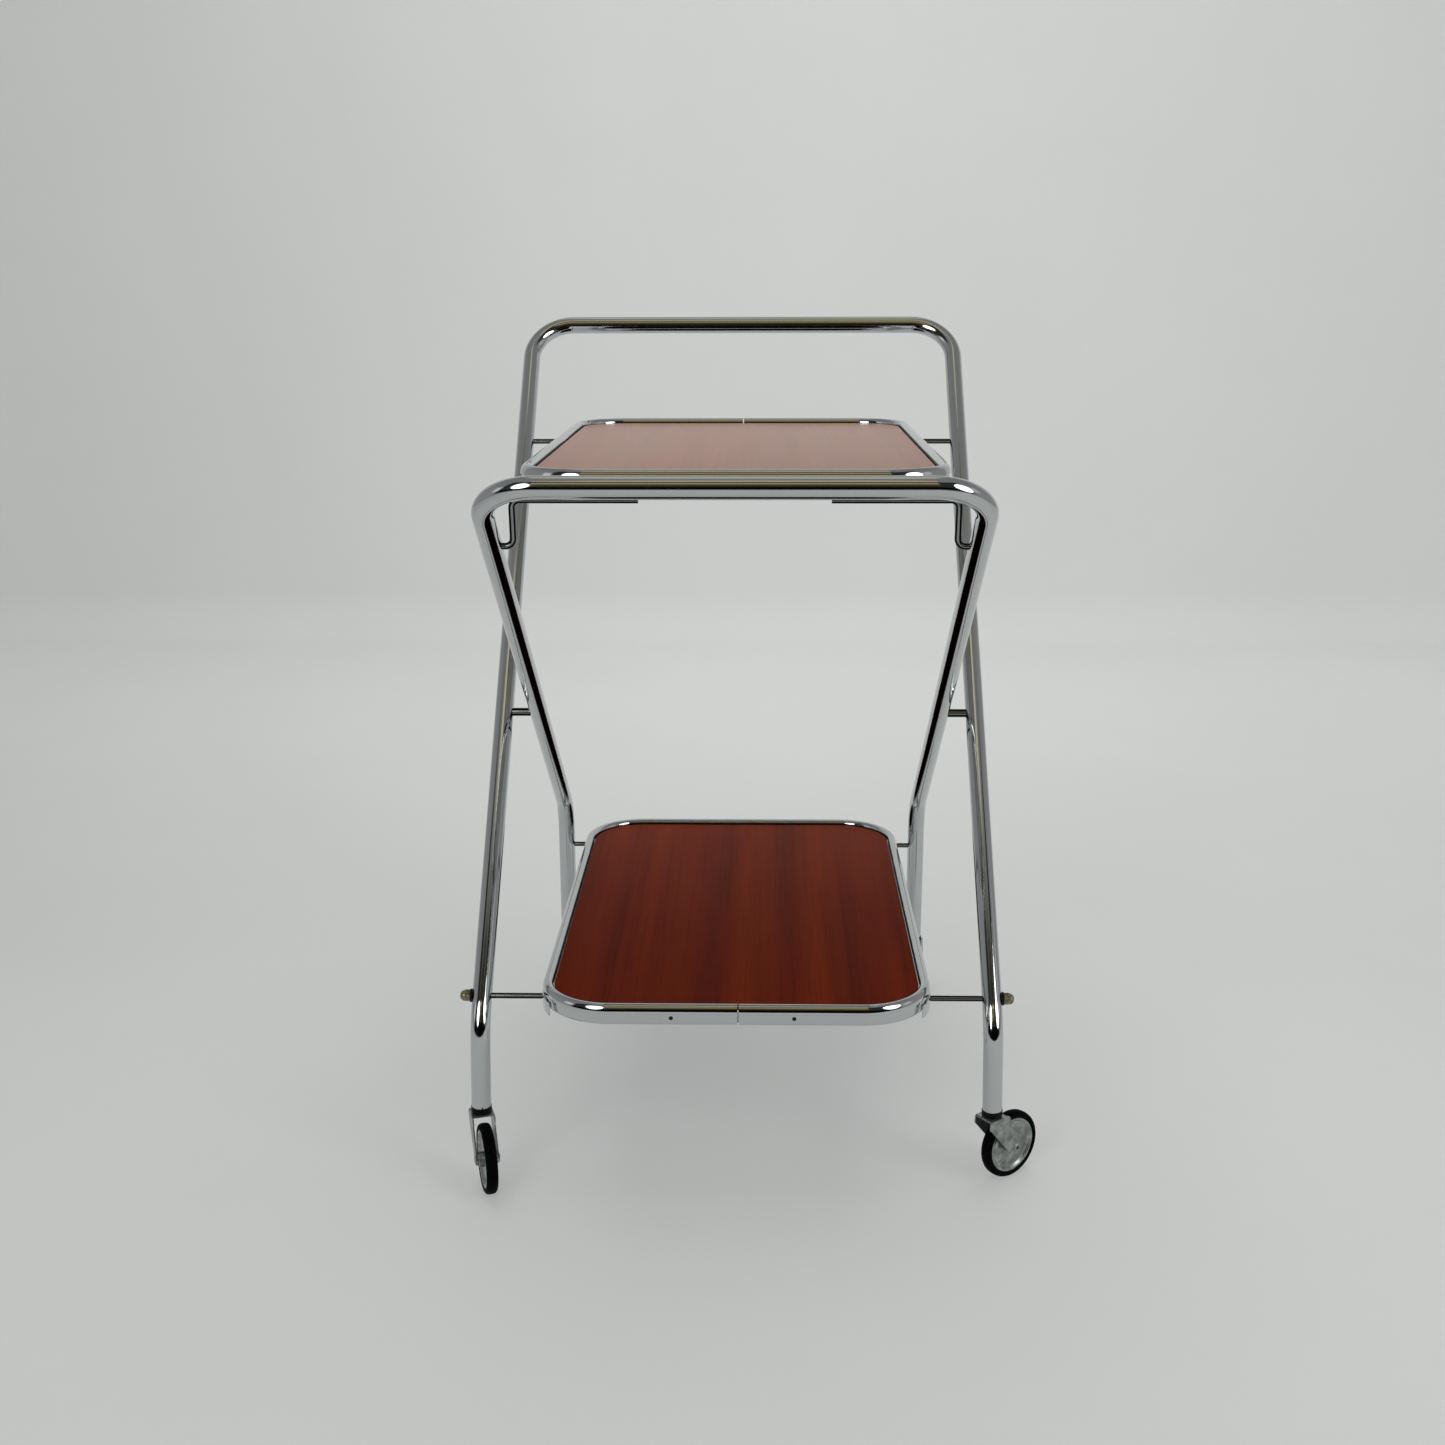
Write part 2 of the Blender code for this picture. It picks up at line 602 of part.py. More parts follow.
# The upper tray turned about the rear rod, so that its front edge lies a little higher
rod_at = Vector((0, REAR_ROD_Y, REAR_ROD_HEIGHT))
pitch = Matrix.Rotation(-UPPER_TRAY_PITCH, 4, "X")
pitched = Matrix.Translation(rod_at) @ pitch @ Matrix.Translation(-rod_at)
for group in (PARTS, CUTTERS):
    for obj in group.objects:
        if obj.name.startswith("upper_"):
            obj.matrix_world = pitched @ obj.matrix_world

# Rear pins of the lower tray, fixed in the inner frame's stems
for side, sign in (("left", -1), ("right", 1)):
    head_at = INNER_X - (TRAY_WIDTH / 2 - SKIRT_IN - SHEET_T - GAP)
    tip = head_at + TRAY_PIN_HEAD_T
    pin = turned(f"lower_tray_pin_{side}", [
        (0, tip), (TRAY_PIN_HEAD_R, tip), (TRAY_PIN_HEAD_R, head_at), (TRAY_PIN_R, head_at), (TRAY_PIN_R, 0),
        (0, 0)], ROD_STEPS)
    place(pin, (sign * INNER_X, PIN_Y, TRAY_PIN_HEIGHT), (-sign, 0, 0))
    finish(pin, CHROME)
    stem_at = (sign * (INNER_X + GAP), PIN_Y, TRAY_PIN_HEIGHT)
    drill(inner, f"lower_tray_pin_bore_{side}", stem_at, (-sign, 0, 0), TRAY_PIN_R + GAP, TUBE_D)
    skirt_at = (sign * (TRAY_WIDTH / 2 + GAP), PIN_Y, TRAY_PIN_HEIGHT)
    drill(RIMS["lower"], f"lower_tray_skirt_hole_{side}", skirt_at, (-sign, 0, 0), TRAY_PIN_R + RUN,
          SKIRT_IN + 2 * SHEET_T)

# Front hooks of the lower tray, bent round its corners and lying on the front rod
hook_in = LOWER_TRAY_CORNER - BEAD_OUT + GAP
for side, sign in (("left", -1), ("right", 1)):
    centre_x = sign * (TRAY_WIDTH / 2 - LOWER_TRAY_CORNER)
    centre_y = LOWER_FRONT + LOWER_TRAY_CORNER
    outline = []
    for radius, order in ((hook_in, 1), (hook_in + HOOK_T, -1)):
        line = [(centre_x + sign * radius, FRONT_ROD_Y + HOOK_REAR)]
        for step in range(HOOK_STEPS + 1):
            angle = HOOK_WRAP * step / HOOK_STEPS
            line.append((centre_x + sign * radius * math.cos(angle), centre_y - radius * math.sin(angle)))
        outline += line[::order]
    hook_low = FRONT_ROD_HEIGHT - HOOK_DOWN
    hook = extruded(f"lower_tray_hook_{side}", outline, hook_low, FRONT_ROD_HEIGHT + HOOK_UP)
    groove_r = ROD_R + RUN
    mouth = Vector((math.cos(HOOK_MOUTH), math.sin(HOOK_MOUTH)))
    across = Vector((-mouth.y, mouth.x)) * groove_r
    far = mouth * (HOOK_DOWN + HOOK_REAR)
    arc = [Matrix.Rotation(math.pi * k / SLOT_STEPS, 2) @ across for k in range(SLOT_STEPS + 1)]
    slot = [tuple(spot) for spot in arc] + [tuple(far - across), tuple(far + across)]
    reach = LOWER_TRAY_CORNER
    cutter = extruded(f"lower_tray_hook_slot_{side}", slot, -reach, reach, CUTTERS)
    middle = (sign * TRAY_WIDTH / 2, FRONT_ROD_Y, FRONT_ROD_HEIGHT)
    cutter.matrix_world = Matrix.Translation(middle) @ YZ_FACING
    boolean(hook, cutter)
    finish(hook, CHROME)

# Wire supports of the upper tray, fixed in the inner frame's legs
for side, sign in (("left", -1), ("right", 1)):
    rest_y = PIVOT_Y + INNER_BAR_Y + WIRE_BEHIND_BAR
    skirt_low = UPPER_TRAY_TOP - UPPER_RIM_HEIGHT - REAR_ROD_HEIGHT
    rest_z = (REAR_ROD_HEIGHT + skirt_low * math.cos(UPPER_TRAY_PITCH)
              + (REAR_ROD_Y - rest_y) * math.sin(UPPER_TRAY_PITCH) - GAP - WIRE_R)
    low_z = WIRE_FOOT_HEIGHT
    low_y = PIVOT_Y - (WIRE_FOOT_HEIGHT - PIVOT_HEIGHT) * math.tan(INNER_LEAN)
    points = [(sign * INNER_X, low_y, low_z), (sign * WIRE_X, low_y, low_z),
              (sign * WIRE_X, rest_y, rest_z), (sign * WIRE_INNER_X, rest_y, rest_z)]
    wire_path = fillet(points, (WIRE_BEND_R, WIRE_BEND_R))
    wire = pipe(f"upper_tray_wire_{side}", wire_path, WIRE_R, WIRE_RES)
    drill(inner, f"wire_bore_{side}", (sign * (INNER_X + GAP), low_y, low_z), (-sign, 0, 0), WIRE_R + GAP,
          TUBE_D)
    finish(wire, CHROME)


# Castors
def castor(name, x, y, turn):
    """One swivel castor: bush, swivel pin, fork, axle, hub and tyre."""
    low = FORK_TOP + GAP
    spigot_r = TUBE_R - COLLAR_WALL - GAP
    spigot_top = STEM_END_HEIGHT + COLLAR_SPIGOT - GAP
    shoulder = STEM_END_HEIGHT - GAP
    bush = turned(f"{name}_stem_bush", [
        (SWIVEL_R + RUN, spigot_top), (spigot_r, spigot_top), (spigot_r, shoulder), (COLLAR_R, shoulder),
        (COLLAR_R, low + COLLAR_LIP), (COLLAR_R - COLLAR_LIP, low), (SWIVEL_R + RUN, low)], TURN_STEPS)
    place(bush, (x, y, 0))
    finish(bush, BLACK_PLASTIC)

    under = FORK_TOP - FORK_T - GAP
    swivel = turned(f"{name}_swivel_pin", [
        (0, spigot_top - COLLAR_LIP), (SWIVEL_R, spigot_top - COLLAR_LIP), (SWIVEL_R, under),
        (SWIVEL_FLANGE_R, under), (SWIVEL_FLANGE_R, under - FORK_T), (0, under - FORK_T)], ROD_STEPS)
    place(swivel, (x, y, 0), turn=turn)
    finish(swivel, ZINC)

    half = FORK_W / 2
    ends = [(TRAIL + along * FORK_END_R, WHEEL_R + rise * FORK_END_R) for along, rise in FORK_END_SHARES]
    sides = round_corners([
        (-FORK_BACK, FORK_TOP), (-FORK_BACK_LOW, FORK_TOP - FORK_BACK_DEPTH), *ends,
        (FORK_NECK, FORK_TOP - FORK_NECK_DEPTH), (FORK_FRONT, FORK_TOP)],
        [FORK_ROUND, FORK_LOBE_R, FORK_ELBOW_R, FORK_ELBOW_R, FORK_ELBOW_R, FORK_LOBE_R], FORK_CORNER_STEPS)
    fork = extruded(f"{name}_fork", sides, -half, half)
    pose = Matrix.Translation((x, y, 0)) @ Matrix.Rotation(turn, 4, "Z")
    fork.matrix_world = pose @ YZ_FACING
    room = half - FORK_T
    hollows = (
        ("inside", (-room, -WHEEL_D, 0), (room, WHEEL_D, FORK_TOP - FORK_T)),
        ("notch", (-room, FORK_NOTCH, FORK_TOP - 2 * FORK_T), (room, WHEEL_D, FORK_TOP + FORK_T)),
    )
    for word, low_corner, high_corner in hollows:
        hollow = box(f"{name}_fork_{word}", low_corner, high_corner, CUTTERS)
        hollow.matrix_world = pose
        boolean(fork, hollow)
    drill(fork, f"{name}_fork_pin_hole", (x, y, FORK_TOP + GAP), (0, 0, -1), SWIVEL_R + GAP, FORK_T + 2 * GAP)
    centre = pose @ Vector((0, TRAIL, WHEEL_R))
    across = (pose.to_3x3() @ Vector((1, 0, 0))).normalized()
    drill(fork, f"{name}_fork_axle_hole", centre - across * (half + GAP), across, AXLE_R + GAP,
          FORK_W + 2 * GAP)
    finish(fork, ZINC)

    reach = half + GAP
    crown = reach + AXLE_HEAD_T
    crown_r = (AXLE_HEAD_R + AXLE_HOLE_R) / 2
    end_profile = [(0, crown - AXLE_HOLE_DEPTH), (AXLE_HOLE_R, crown - AXLE_HOLE_DEPTH), (AXLE_HOLE_R, crown),
                   (crown_r, crown), (AXLE_HEAD_R, reach), (AXLE_R, reach)]
    mirrored = [(radius, -height) for radius, height in reversed(end_profile)]
    axle = turned(f"{name}_axle", end_profile + mirrored, ROD_STEPS)
    place(axle, centre, across)
    finish(axle, DULL_STEEL)

    bore = AXLE_R + RUN
    boss = room - GAP * 2
    web = HUB_WEB_W / 2
    rim = HUB_RIM_W / 2
    hub_out = HUB_R - GAP
    lip_in = hub_out - HUB_LIP
    dish = [(bore, boss), (HUB_BOSS_R, boss), (HUB_BOSS_R, web), (lip_in - HUB_SLOPE, web), (lip_in, rim),
            (hub_out, rim)]
    hub = turned(f"{name}_wheel_hub", dish + [(r, -w) for r, w in reversed(dish)], WHEEL_STEPS)
    place(hub, centre, across)
    finish(hub, ZINC)

    wide = TYRE_W / 2
    upper = [(HUB_R, rim)]
    upper += [(WHEEL_R - TYRE_DEPTH * depth, wide * width) for depth, width in TYRE_ROUND_SHARES]
    ring = upper + [(r, -w) for r, w in reversed(upper)]
    tyre = turned(f"{name}_tyre", ring, WHEEL_STEPS)
    place(tyre, centre, across)
    finish(tyre, RUBBER)


for castor_name, castor_x, castor_y, castor_turn in CASTORS:
    castor(castor_name, castor_x, castor_y + PIVOT_Y, castor_turn)

finish(outer, CHROME)
finish(inner, CHROME)
for rim in RIMS.values():
    finish(rim, CHROME)
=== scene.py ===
"""Folding serving trolley: finishes, smooth tubes, trays and wheels, stage, light and camera around the
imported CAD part."""

import math

import bmesh
import bpy
from mathutils import Matrix, Vector


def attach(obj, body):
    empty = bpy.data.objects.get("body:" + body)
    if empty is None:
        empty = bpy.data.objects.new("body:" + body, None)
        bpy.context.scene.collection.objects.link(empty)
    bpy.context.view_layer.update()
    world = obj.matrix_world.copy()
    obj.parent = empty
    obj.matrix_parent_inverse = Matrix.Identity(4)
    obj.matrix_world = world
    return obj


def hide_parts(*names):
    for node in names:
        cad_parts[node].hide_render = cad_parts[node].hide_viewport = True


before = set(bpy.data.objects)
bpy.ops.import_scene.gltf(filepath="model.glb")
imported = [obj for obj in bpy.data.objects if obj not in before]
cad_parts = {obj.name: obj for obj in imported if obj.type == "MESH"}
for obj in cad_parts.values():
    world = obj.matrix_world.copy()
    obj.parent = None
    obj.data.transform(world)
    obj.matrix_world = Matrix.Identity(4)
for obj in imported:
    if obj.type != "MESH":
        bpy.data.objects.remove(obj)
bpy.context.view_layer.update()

bl_info = {
    "name": "Folding serving trolley",
    "version": (1, 0, 0),
    "blender": (4, 5, 0),
    "location": "View3D > Sidebar > Trolley",
    "description": "Finishes, smooth pieces, stage, light and camera for a folding serving trolley",
    "category": "Object",
}

MM = 0.001

# Camera of the photograph: image side and focal length in pixels, sensor in mm, angles in radians, place in
# metres
IMAGE_SIDE = 1445
FOCAL = 1700
SENSOR = 36
CAMERA_YAW = -0.022
CAMERA_PITCH = 0.263
CAMERA_ROLL = -0.0026
CAMERA_PLACE = (0.0196, -1.61885, 0.8183)

# Tubes, rods and wires as the CAD part has them: radii, and the corners and bend radii of their centre
# lines. Where a piece has a twin, these are the left one's, and the right one mirrors them.
TUBE_R = 0.0090
ROD_R = 0.0026
PIVOT_R = 0.0040
WIRE_R = 0.00275
OUTER_CORNERS = ((-0.2338, -0.20773, 0.0740), (-0.2319, -0.20773, 0.1549), (-0.2319, 0.32504, 0.7535))
INNER_CORNERS = ((-0.19755, 0.20793, 0.0740), (-0.19755, 0.20793, 0.2276), (-0.19755, -0.32505, 0.6549))
FRAME_BENDS = (0.060, 0.045)
WIRE_CORNERS = ((-0.19755, -0.2547, 0.5985), (-0.1795, -0.2547, 0.5985), (-0.1795, -0.25895, 0.63648),
                (-0.0775, -0.25895, 0.63648))
WIRE_BEND = 0.0065
REAR_ROD = ((-0.2319, 0.22002, 0.6355), (0.2319, 0.22002, 0.6355))
FRONT_ROD = ((-0.2483, -0.19001, 0.1748), (0.2483, -0.19001, 0.1748))
PIVOT_PIN = ((-0.19755, 0.00312, 0.3918), (-0.2319, 0.00312, 0.3918))
ARC_STEP = math.radians(3)
TUBE_SIDES = 40
PIN_SIDES = 28
ROD_SIDES = 20

# Trays as the CAD part has them: middle, top, length, corner radius, rim height, seam (1 front, -1 rear)
TRAY_WIDTH = 0.350
TRAYS = {
    "upper": (-0.02696, 0.6596, 0.51617, 0.056, 0.0240, -1),
    "lower": (0.00291, 0.1965, 0.52204, 0.064, 0.0182, 1),
}
UPPER_PITCH = math.radians(0.47)
UPPER_HINGE = (0, 0.22002, 0.6355)
# The rim's bead: radius, depth of its outer half, which goes lower than in the CAD part, how far the skirt
# stands in from it, and how far the skirt's top lies under it
BEAD_R = 0.0048
BEAD_DEEP = 0.0078
BEAD_OUT = 0.0010
BEAD_UNDER = 0.0007
BEAD_STEPS = 24
SHEET_T = 0.0012
LEDGE_W = 0.008
HEM_R = 0.0009
# Inward curl of the skirt's lower edge: how far in and how far up, as shares of its radius
HEM_SHARES = ((0, 2.2), (0.12, 1.4), (0.4, 0.7), (0.75, 0.25), (1.1, 0))
PANEL_DROP = 0.0050
PANEL_T = 0.0032
PANEL_GAP = 0.0009
# Round of a panel's upper edge: how far in and how far down
PANEL_ROUND = ((0, 0.4 * MM), (0.12 * MM, 0.12 * MM), (0.4 * MM, 0))
GAP = 0.0003
CORNER_STEPS = 28
SEAM_X = 0.0024
SEAM_GAP = 0.0011
# Rivets: their places beside the seam, radius and depth of the shank, and radius and height of the dome
RIVET_X = (-0.05605, 0.05145)
RIVET_SHANK = (0.0019, 0.0030)
RIVET_DOME = ((0.0019, 0.0), (0.0017, 0.0004), (0.0010, 0.0008))
RIVET_TOP = 0.0009
RIVET_SIDES = 24

# Castors as the CAD part has them: foot of the stem and turn about it
CASTORS = {
    "front_left": (-0.2338, -0.20773, math.radians(198)),
    "front_right": (0.2338, -0.20773, math.radians(-52.5)),
    "rear_left": (-0.19755, 0.20793, math.radians(-12)),
    "rear_right": (0.19755, 0.20793, math.radians(-10)),
}
TRAIL = 0.0235
WHEEL_R = 0.0320
WHEEL_STEPS = 72
# Half sections from the axle outward: radius and half width
TYRE_SECTION = ((0.0263, 0.0048), (0.0280, 0.00535), (0.0296, 0.00530), (0.0309, 0.00450), (0.0317, 0.0031),
                (0.0320, 0.0012))
HUB_SECTION = ((0.0033, 0.0086), (0.0066, 0.0086), (0.0070, 0.0082), (0.0070, 0.0030), (0.0074, 0.0026),
               (0.0160, 0.0025), (0.0170, 0.0030), (0.0182, 0.0030), (0.0192, 0.0025), (0.0217, 0.0025),
               (0.0228, 0.0032), (0.0238, 0.0045), (0.0243, 0.0048), (0.0258, 0.0048), (0.0260, 0.0046))

# Angles over which an edge stays sharp
SHARP = math.radians(35)
RIM_SHARP = math.radians(20)
PANEL_SHARP = math.radians(12)
TYRE_SHARP = math.radians(60)

# Widths and depths of the marks in the finishes, from the real ones, and coarser where their comment says so
POLISH_WAVE = 14 * MM
NICKEL_WEAR = 3 * MM
STEEL_WEAR = 2 * MM
BUSH_WEAR = 2.5 * MM
RUBBER_DUST = 6 * MM
RUBBER_GRIT = 0.5 * MM
GRAIN_STREAK = 5 * MM
GRAIN_PORE = 1.2 * MM
SMEAR = 40 * MM
WAVE_DEPTH = 0.05 * MM
BLOTCH_DEPTH = 0.06 * MM
GRIT_DEPTH = 0.05 * MM
# Roughness of the bright and of the thin chrome, between its smoothest and its most wiped places
CHROME_ROUGH = (0.05, 0.11)
THIN_ROUGH = (0.12, 0.18)
# Laminate: stretch of the bands and of the pores along X, Y and Z, and how far the bands are shifted
BAND_STRETCH = (1, 0.03, 0.2)
PORE_STRETCH = (1, 0.02, 0.2)
BAND_SHIFT = (0.21, 0, 0)
# Its painted sheen, a pale colour mixed into its colour at a flat angle in place of a reflection: refractive
# index of the Fresnel share, and the factor and offset that turn that share into the painted sheen's share
PAINTED_SHEEN_INDEX = 1.08
PAINTED_SHEEN_SCALE = (1.19, -0.019)
# How far its colour is painted toward nearly black where a mirror face shows it: painted shade in its
# reflections
PAINTED_MIRROR_SHADE = 0.97
# A face whose normal's Z lies below this is its underside
DOWNWARD = -0.5

# The studio round the trolley: turn 0 is behind the trolley and 180 behind the camera, in degrees.
# Backdrop: the floor's front edge, the wall's half width and height, and the quarter round between them
FLOOR_FRONT = -2.4
WALL_SIDE = 3.0
WALL_HEIGHT = 2.6
CURVE_R = 0.10
CURVE_STEPS = 12
# Its painted falloff of light, darker toward the front and the sides: the ways along Y and X over which
# it falls off, and the width of its scuffs
PAINTED_FALLOFF_Y = (-1.5, 2.0)
PAINTED_FALLOFF_X = (-1.8, 1.8)
SCUFF = 400 * MM
# Lamps: turn, rise, distance, width and height in degrees, brightness, shape, shown in metal or not
LAMP_AIM = 0.35
SOFT_LAMPS = (
    ("lamp_left", -152, 25, 3.0, (24, 36), 3.2, "ELLIPSE", True),
    ("lamp_right", 128, 23, 3.0, (26, 38), 3.2, "ELLIPSE", True),
    ("lamp_over", 0, 77, 2.6, (56, 56), 2.1, "RECTANGLE", False),
)
# Black screen: Y, half width, height
SCREEN = (-3.4, 5.5, 1.2)
# Patches of light and dark in the room: middle turn and rise, half width and height, soft edge, colour and
# brightness
ROOM = (
    (180, 24, 66, 32, 8, "#2F3231", 1.0),
    (180, 50, 14, 30, 8, "#7C775B", 1.0),
    (180, 34, 13, 15, 6, "#84754C", 1.0),
    (180, 47, 15, 2.5, 2, "#D9C6A2", 1.0),
    (180, 56, 24, 3.5, 3, "#3A3423", 1.0),
    (180, 68, 23, 4.5, 3, "#FFF0CC", 0.7),
    (180, 75, 30, 2, 2, "#77745F", 1.0),
    (180, 80, 34, 2.5, 2, "#CFC9AE", 1.0),
    (0, 66, 26, 10, 5, "#F2F0DC", 0.8),
    (180, 22, 22, 7, 6, "#3C3424", 1.0),
    (-108, 18, 8, 10, 6, "#F0F2F2", 0.9),
    (98, 20, 8, 10, 6, "#F0F2F2", 0.7),
)
# The room's greys from straight down, at 0, to straight up, at 1
ROOM_GREYS = ((0.40, 0.02), (0.44, 0.34), (0.60, 0.32), (0.80, 0.25), (1.0, 0.27))

# Kinds of node
RAMP = "ShaderNodeValToRGB"
NOISE = "ShaderNodeTexNoise"
BUMP = "ShaderNodeBump"
MATH = "ShaderNodeMath"
RANGE = "ShaderNodeMapRange"
MIX = "ShaderNodeMix"
SPLIT = "ShaderNodeSeparateXYZ"
PRINCIPLED = "ShaderNodeBsdfPrincipled"
OUTPUT = "ShaderNodeOutputMaterial"


def linear(code):
    """Linear colour of an sRGB hex value."""
    parts = [int(code[i:i + 2], 16) / 255 for i in (1, 3, 5)]
    return tuple(c / 12.92 if c <= 0.04045 else ((c + 0.055) / 1.055) ** 2.4 for c in parts)


def add(tree, kind, sockets=None, stops=(), **settings):
    """Adds a node. Its settings are properties, or constants of sockets by name. Its sockets, by name or
    number, take another node's output or a constant. A ramp's stops are positions and hex values or greys."""
    node = tree.nodes.new(kind)
    for key, value in settings.items():
        if hasattr(node, key):
            setattr(node, key, value)
        else:
            node.inputs[key.replace("_", " ")].default_value = value
    for key, value in (sockets or {}).items():
        if isinstance(value, bpy.types.NodeSocket):
            tree.links.new(value, node.inputs[key])
        else:
            node.inputs[key].default_value = value
    items = node.color_ramp.elements if stops else ()
    while len(items) < len(stops):
        items.new(0.5)
    for item, (position, colour) in zip(items, stops):
        item.position = position
        item.color = (*linear(colour), 1) if isinstance(colour, str) else (colour, colour, colour, 1)
    return node


def new_material(name):
    """An empty node material, and object coordinates in metres."""
    material = bpy.data.materials.new(name)
    material.use_nodes = True
    tree = material.node_tree
    tree.nodes.clear()
    place = add(tree, "ShaderNodeTexCoord").outputs["Object"]
    return material, tree, place


def chrome(thin=False):
    """Bright chrome plate on drawn and bent steel: a mirror with a cool tint, faint wipe marks and
    slight waviness left by the polishing before it was plated. On thin rods and wires the plate is
    duller, and their flanks are painted nearly black by the facing angle: a painted dark reflection."""
    material, tree, place = new_material("chrome plated wire" if thin else "bright chrome plated steel")
    look = bpy.context.scene.trolley_look
    wipe = add(tree, NOISE, {"Vector": place}, Scale=1 / look.wipe, Detail=4, Roughness=0.6)
    smooth, wiped = THIN_ROUGH if thin else CHROME_ROUGH
    rough = add(tree, RAMP, {"Fac": wipe.outputs["Fac"]}, ((0.35, smooth), (0.75, wiped)))
    wave = add(tree, NOISE, {"Vector": place}, Scale=1 / POLISH_WAVE, Detail=2, Roughness=0.4)
    bump = add(tree, BUMP, {"Height": wave.outputs["Fac"]}, Strength=0.3, Distance=WAVE_DEPTH)
    shader = add(tree, PRINCIPLED, {"Roughness": rough.outputs["Color"], "Normal": bump.outputs["Normal"]},
                 Base_Color=(*look.chrome_tint, 1), Metallic=1)
    if thin:
        # Painted dark reflection: by the facing angle the base colour goes from pale in the middle to nearly
        # black on the flanks
        edge = add(tree, "ShaderNodeLayerWeight", Blend=0.5)
        painted_dark_flank = add(tree, RAMP, {"Fac": edge.outputs["Facing"]}, ((0.015, "#A3A8A8"), (0.13, "#0A0C0E")))
        tree.links.new(painted_dark_flank.outputs["Color"], shader.inputs["Base Color"])
    add(tree, OUTPUT, {"Surface": shader.outputs[0]})
    return material


def thin_chrome_painted_flanks():
    """The duller chrome of rods, wires and pins, with painted dark reflections on their flanks."""
    return chrome(thin=True)


def zinc():
    """Pressed steel with dull zinc plate: grey, blotched by oxide, softly shining."""
    material, tree, place = new_material("dull zinc plated pressed steel")
    size = bpy.context.scene.trolley_look.blotch
    blotch = add(tree, NOISE, {"Vector": place}, Scale=1 / size, Detail=4, Roughness=0.55)
    factor = {"Fac": blotch.outputs["Fac"]}
    colour = add(tree, RAMP, factor, ((0.32, "#6F7673"), (0.50, "#8F9491"), (0.68, "#A9ACAA")))
    rough = add(tree, RAMP, factor, ((0.3, 0.38), (0.7, 0.25)))
    bump = add(tree, BUMP, {"Height": blotch.outputs["Fac"]}, Strength=0.3, Distance=BLOTCH_DEPTH)
    shader = add(tree, PRINCIPLED,
                 {"Base Color": colour.outputs["Color"], "Roughness": rough.outputs["Color"],
                  "Normal": bump.outputs["Normal"]}, Metallic=0.85)
    add(tree, OUTPUT, {"Surface": shader.outputs[0]})
    return material


def nickel():
    """Turned steel nut with worn dull nickel plate: brownish grey where the plate is thin."""
    material, tree, place = new_material("worn dull nickel plated steel")
    worn = add(tree, NOISE, {"Vector": place}, Scale=1 / NICKEL_WEAR, Detail=4, Roughness=0.6)
    colour = add(tree, RAMP, {"Fac": worn.outputs["Fac"]}, ((0.35, "#5C5743"), (0.70, "#9C957B")))
    shader = add(tree, PRINCIPLED, {"Base Color": colour.outputs["Color"]}, Metallic=0.9, Roughness=0.28)
    add(tree, OUTPUT, {"Surface": shader.outputs[0]})
    return material


def dark_steel():
    """Oiled black steel: rivets and washers, dark with a faint sheen."""
    material, tree, place = new_material("blackened steel")
    worn = add(tree, NOISE, {"Vector": place}, Scale=1 / STEEL_WEAR, Detail=3)
    colour = add(tree, RAMP, {"Fac": worn.outputs["Fac"]}, ((0.35, "#0A0A09"), (0.75, "#1D1B19")))
    shader = add(tree, PRINCIPLED, {"Base Color": colour.outputs["Color"]}, Metallic=0.6, Roughness=0.5)
    add(tree, OUTPUT, {"Surface": shader.outputs[0]})
    return material


def rubber():
    """Moulded black rubber tyre: matt and nearly black, with fine scuffs on its tread. The grit is drawn
    coarser than the real one, so that it shows."""
    material, tree, place = new_material("moulded black rubber")
    dust = add(tree, NOISE, {"Vector": place}, Scale=1 / RUBBER_DUST, Detail=5, Roughness=0.7)
    colour = add(tree, RAMP, {"Fac": dust.outputs["Fac"]}, ((0.42, "#000000"), (0.75, "#030303")))
    grit = add(tree, NOISE, {"Vector": place}, Scale=1 / RUBBER_GRIT, Detail=2)
    bump = add(tree, BUMP, {"Height": grit.outputs["Fac"]}, Strength=0.3, Distance=GRIT_DEPTH)
    shader = add(tree, PRINCIPLED, {"Base Color": colour.outputs["Color"], "Normal": bump.outputs["Normal"]},
                 Roughness=0.65, IOR=1.52, Specular_IOR_Level=0.04)
    add(tree, OUTPUT, {"Surface": shader.outputs[0]})
    return material


def bush_plastic():
    """Turned black polyamide bush: satin, slightly grey at its worn face."""
    material, tree, place = new_material("black polyamide")
    worn = add(tree, NOISE, {"Vector": place}, Scale=1 / BUSH_WEAR, Detail=3)
    colour = add(tree, RAMP, {"Fac": worn.outputs["Fac"]}, ((0.40, "#030303"), (0.75, "#0A0A0A")))
    shader = add(tree, PRINCIPLED, {"Base Color": colour.outputs["Color"]},
                 Roughness=0.5, IOR=1.53, Specular_IOR_Level=0.1)
    add(tree, OUTPUT, {"Surface": shader.outputs[0]})
    return material


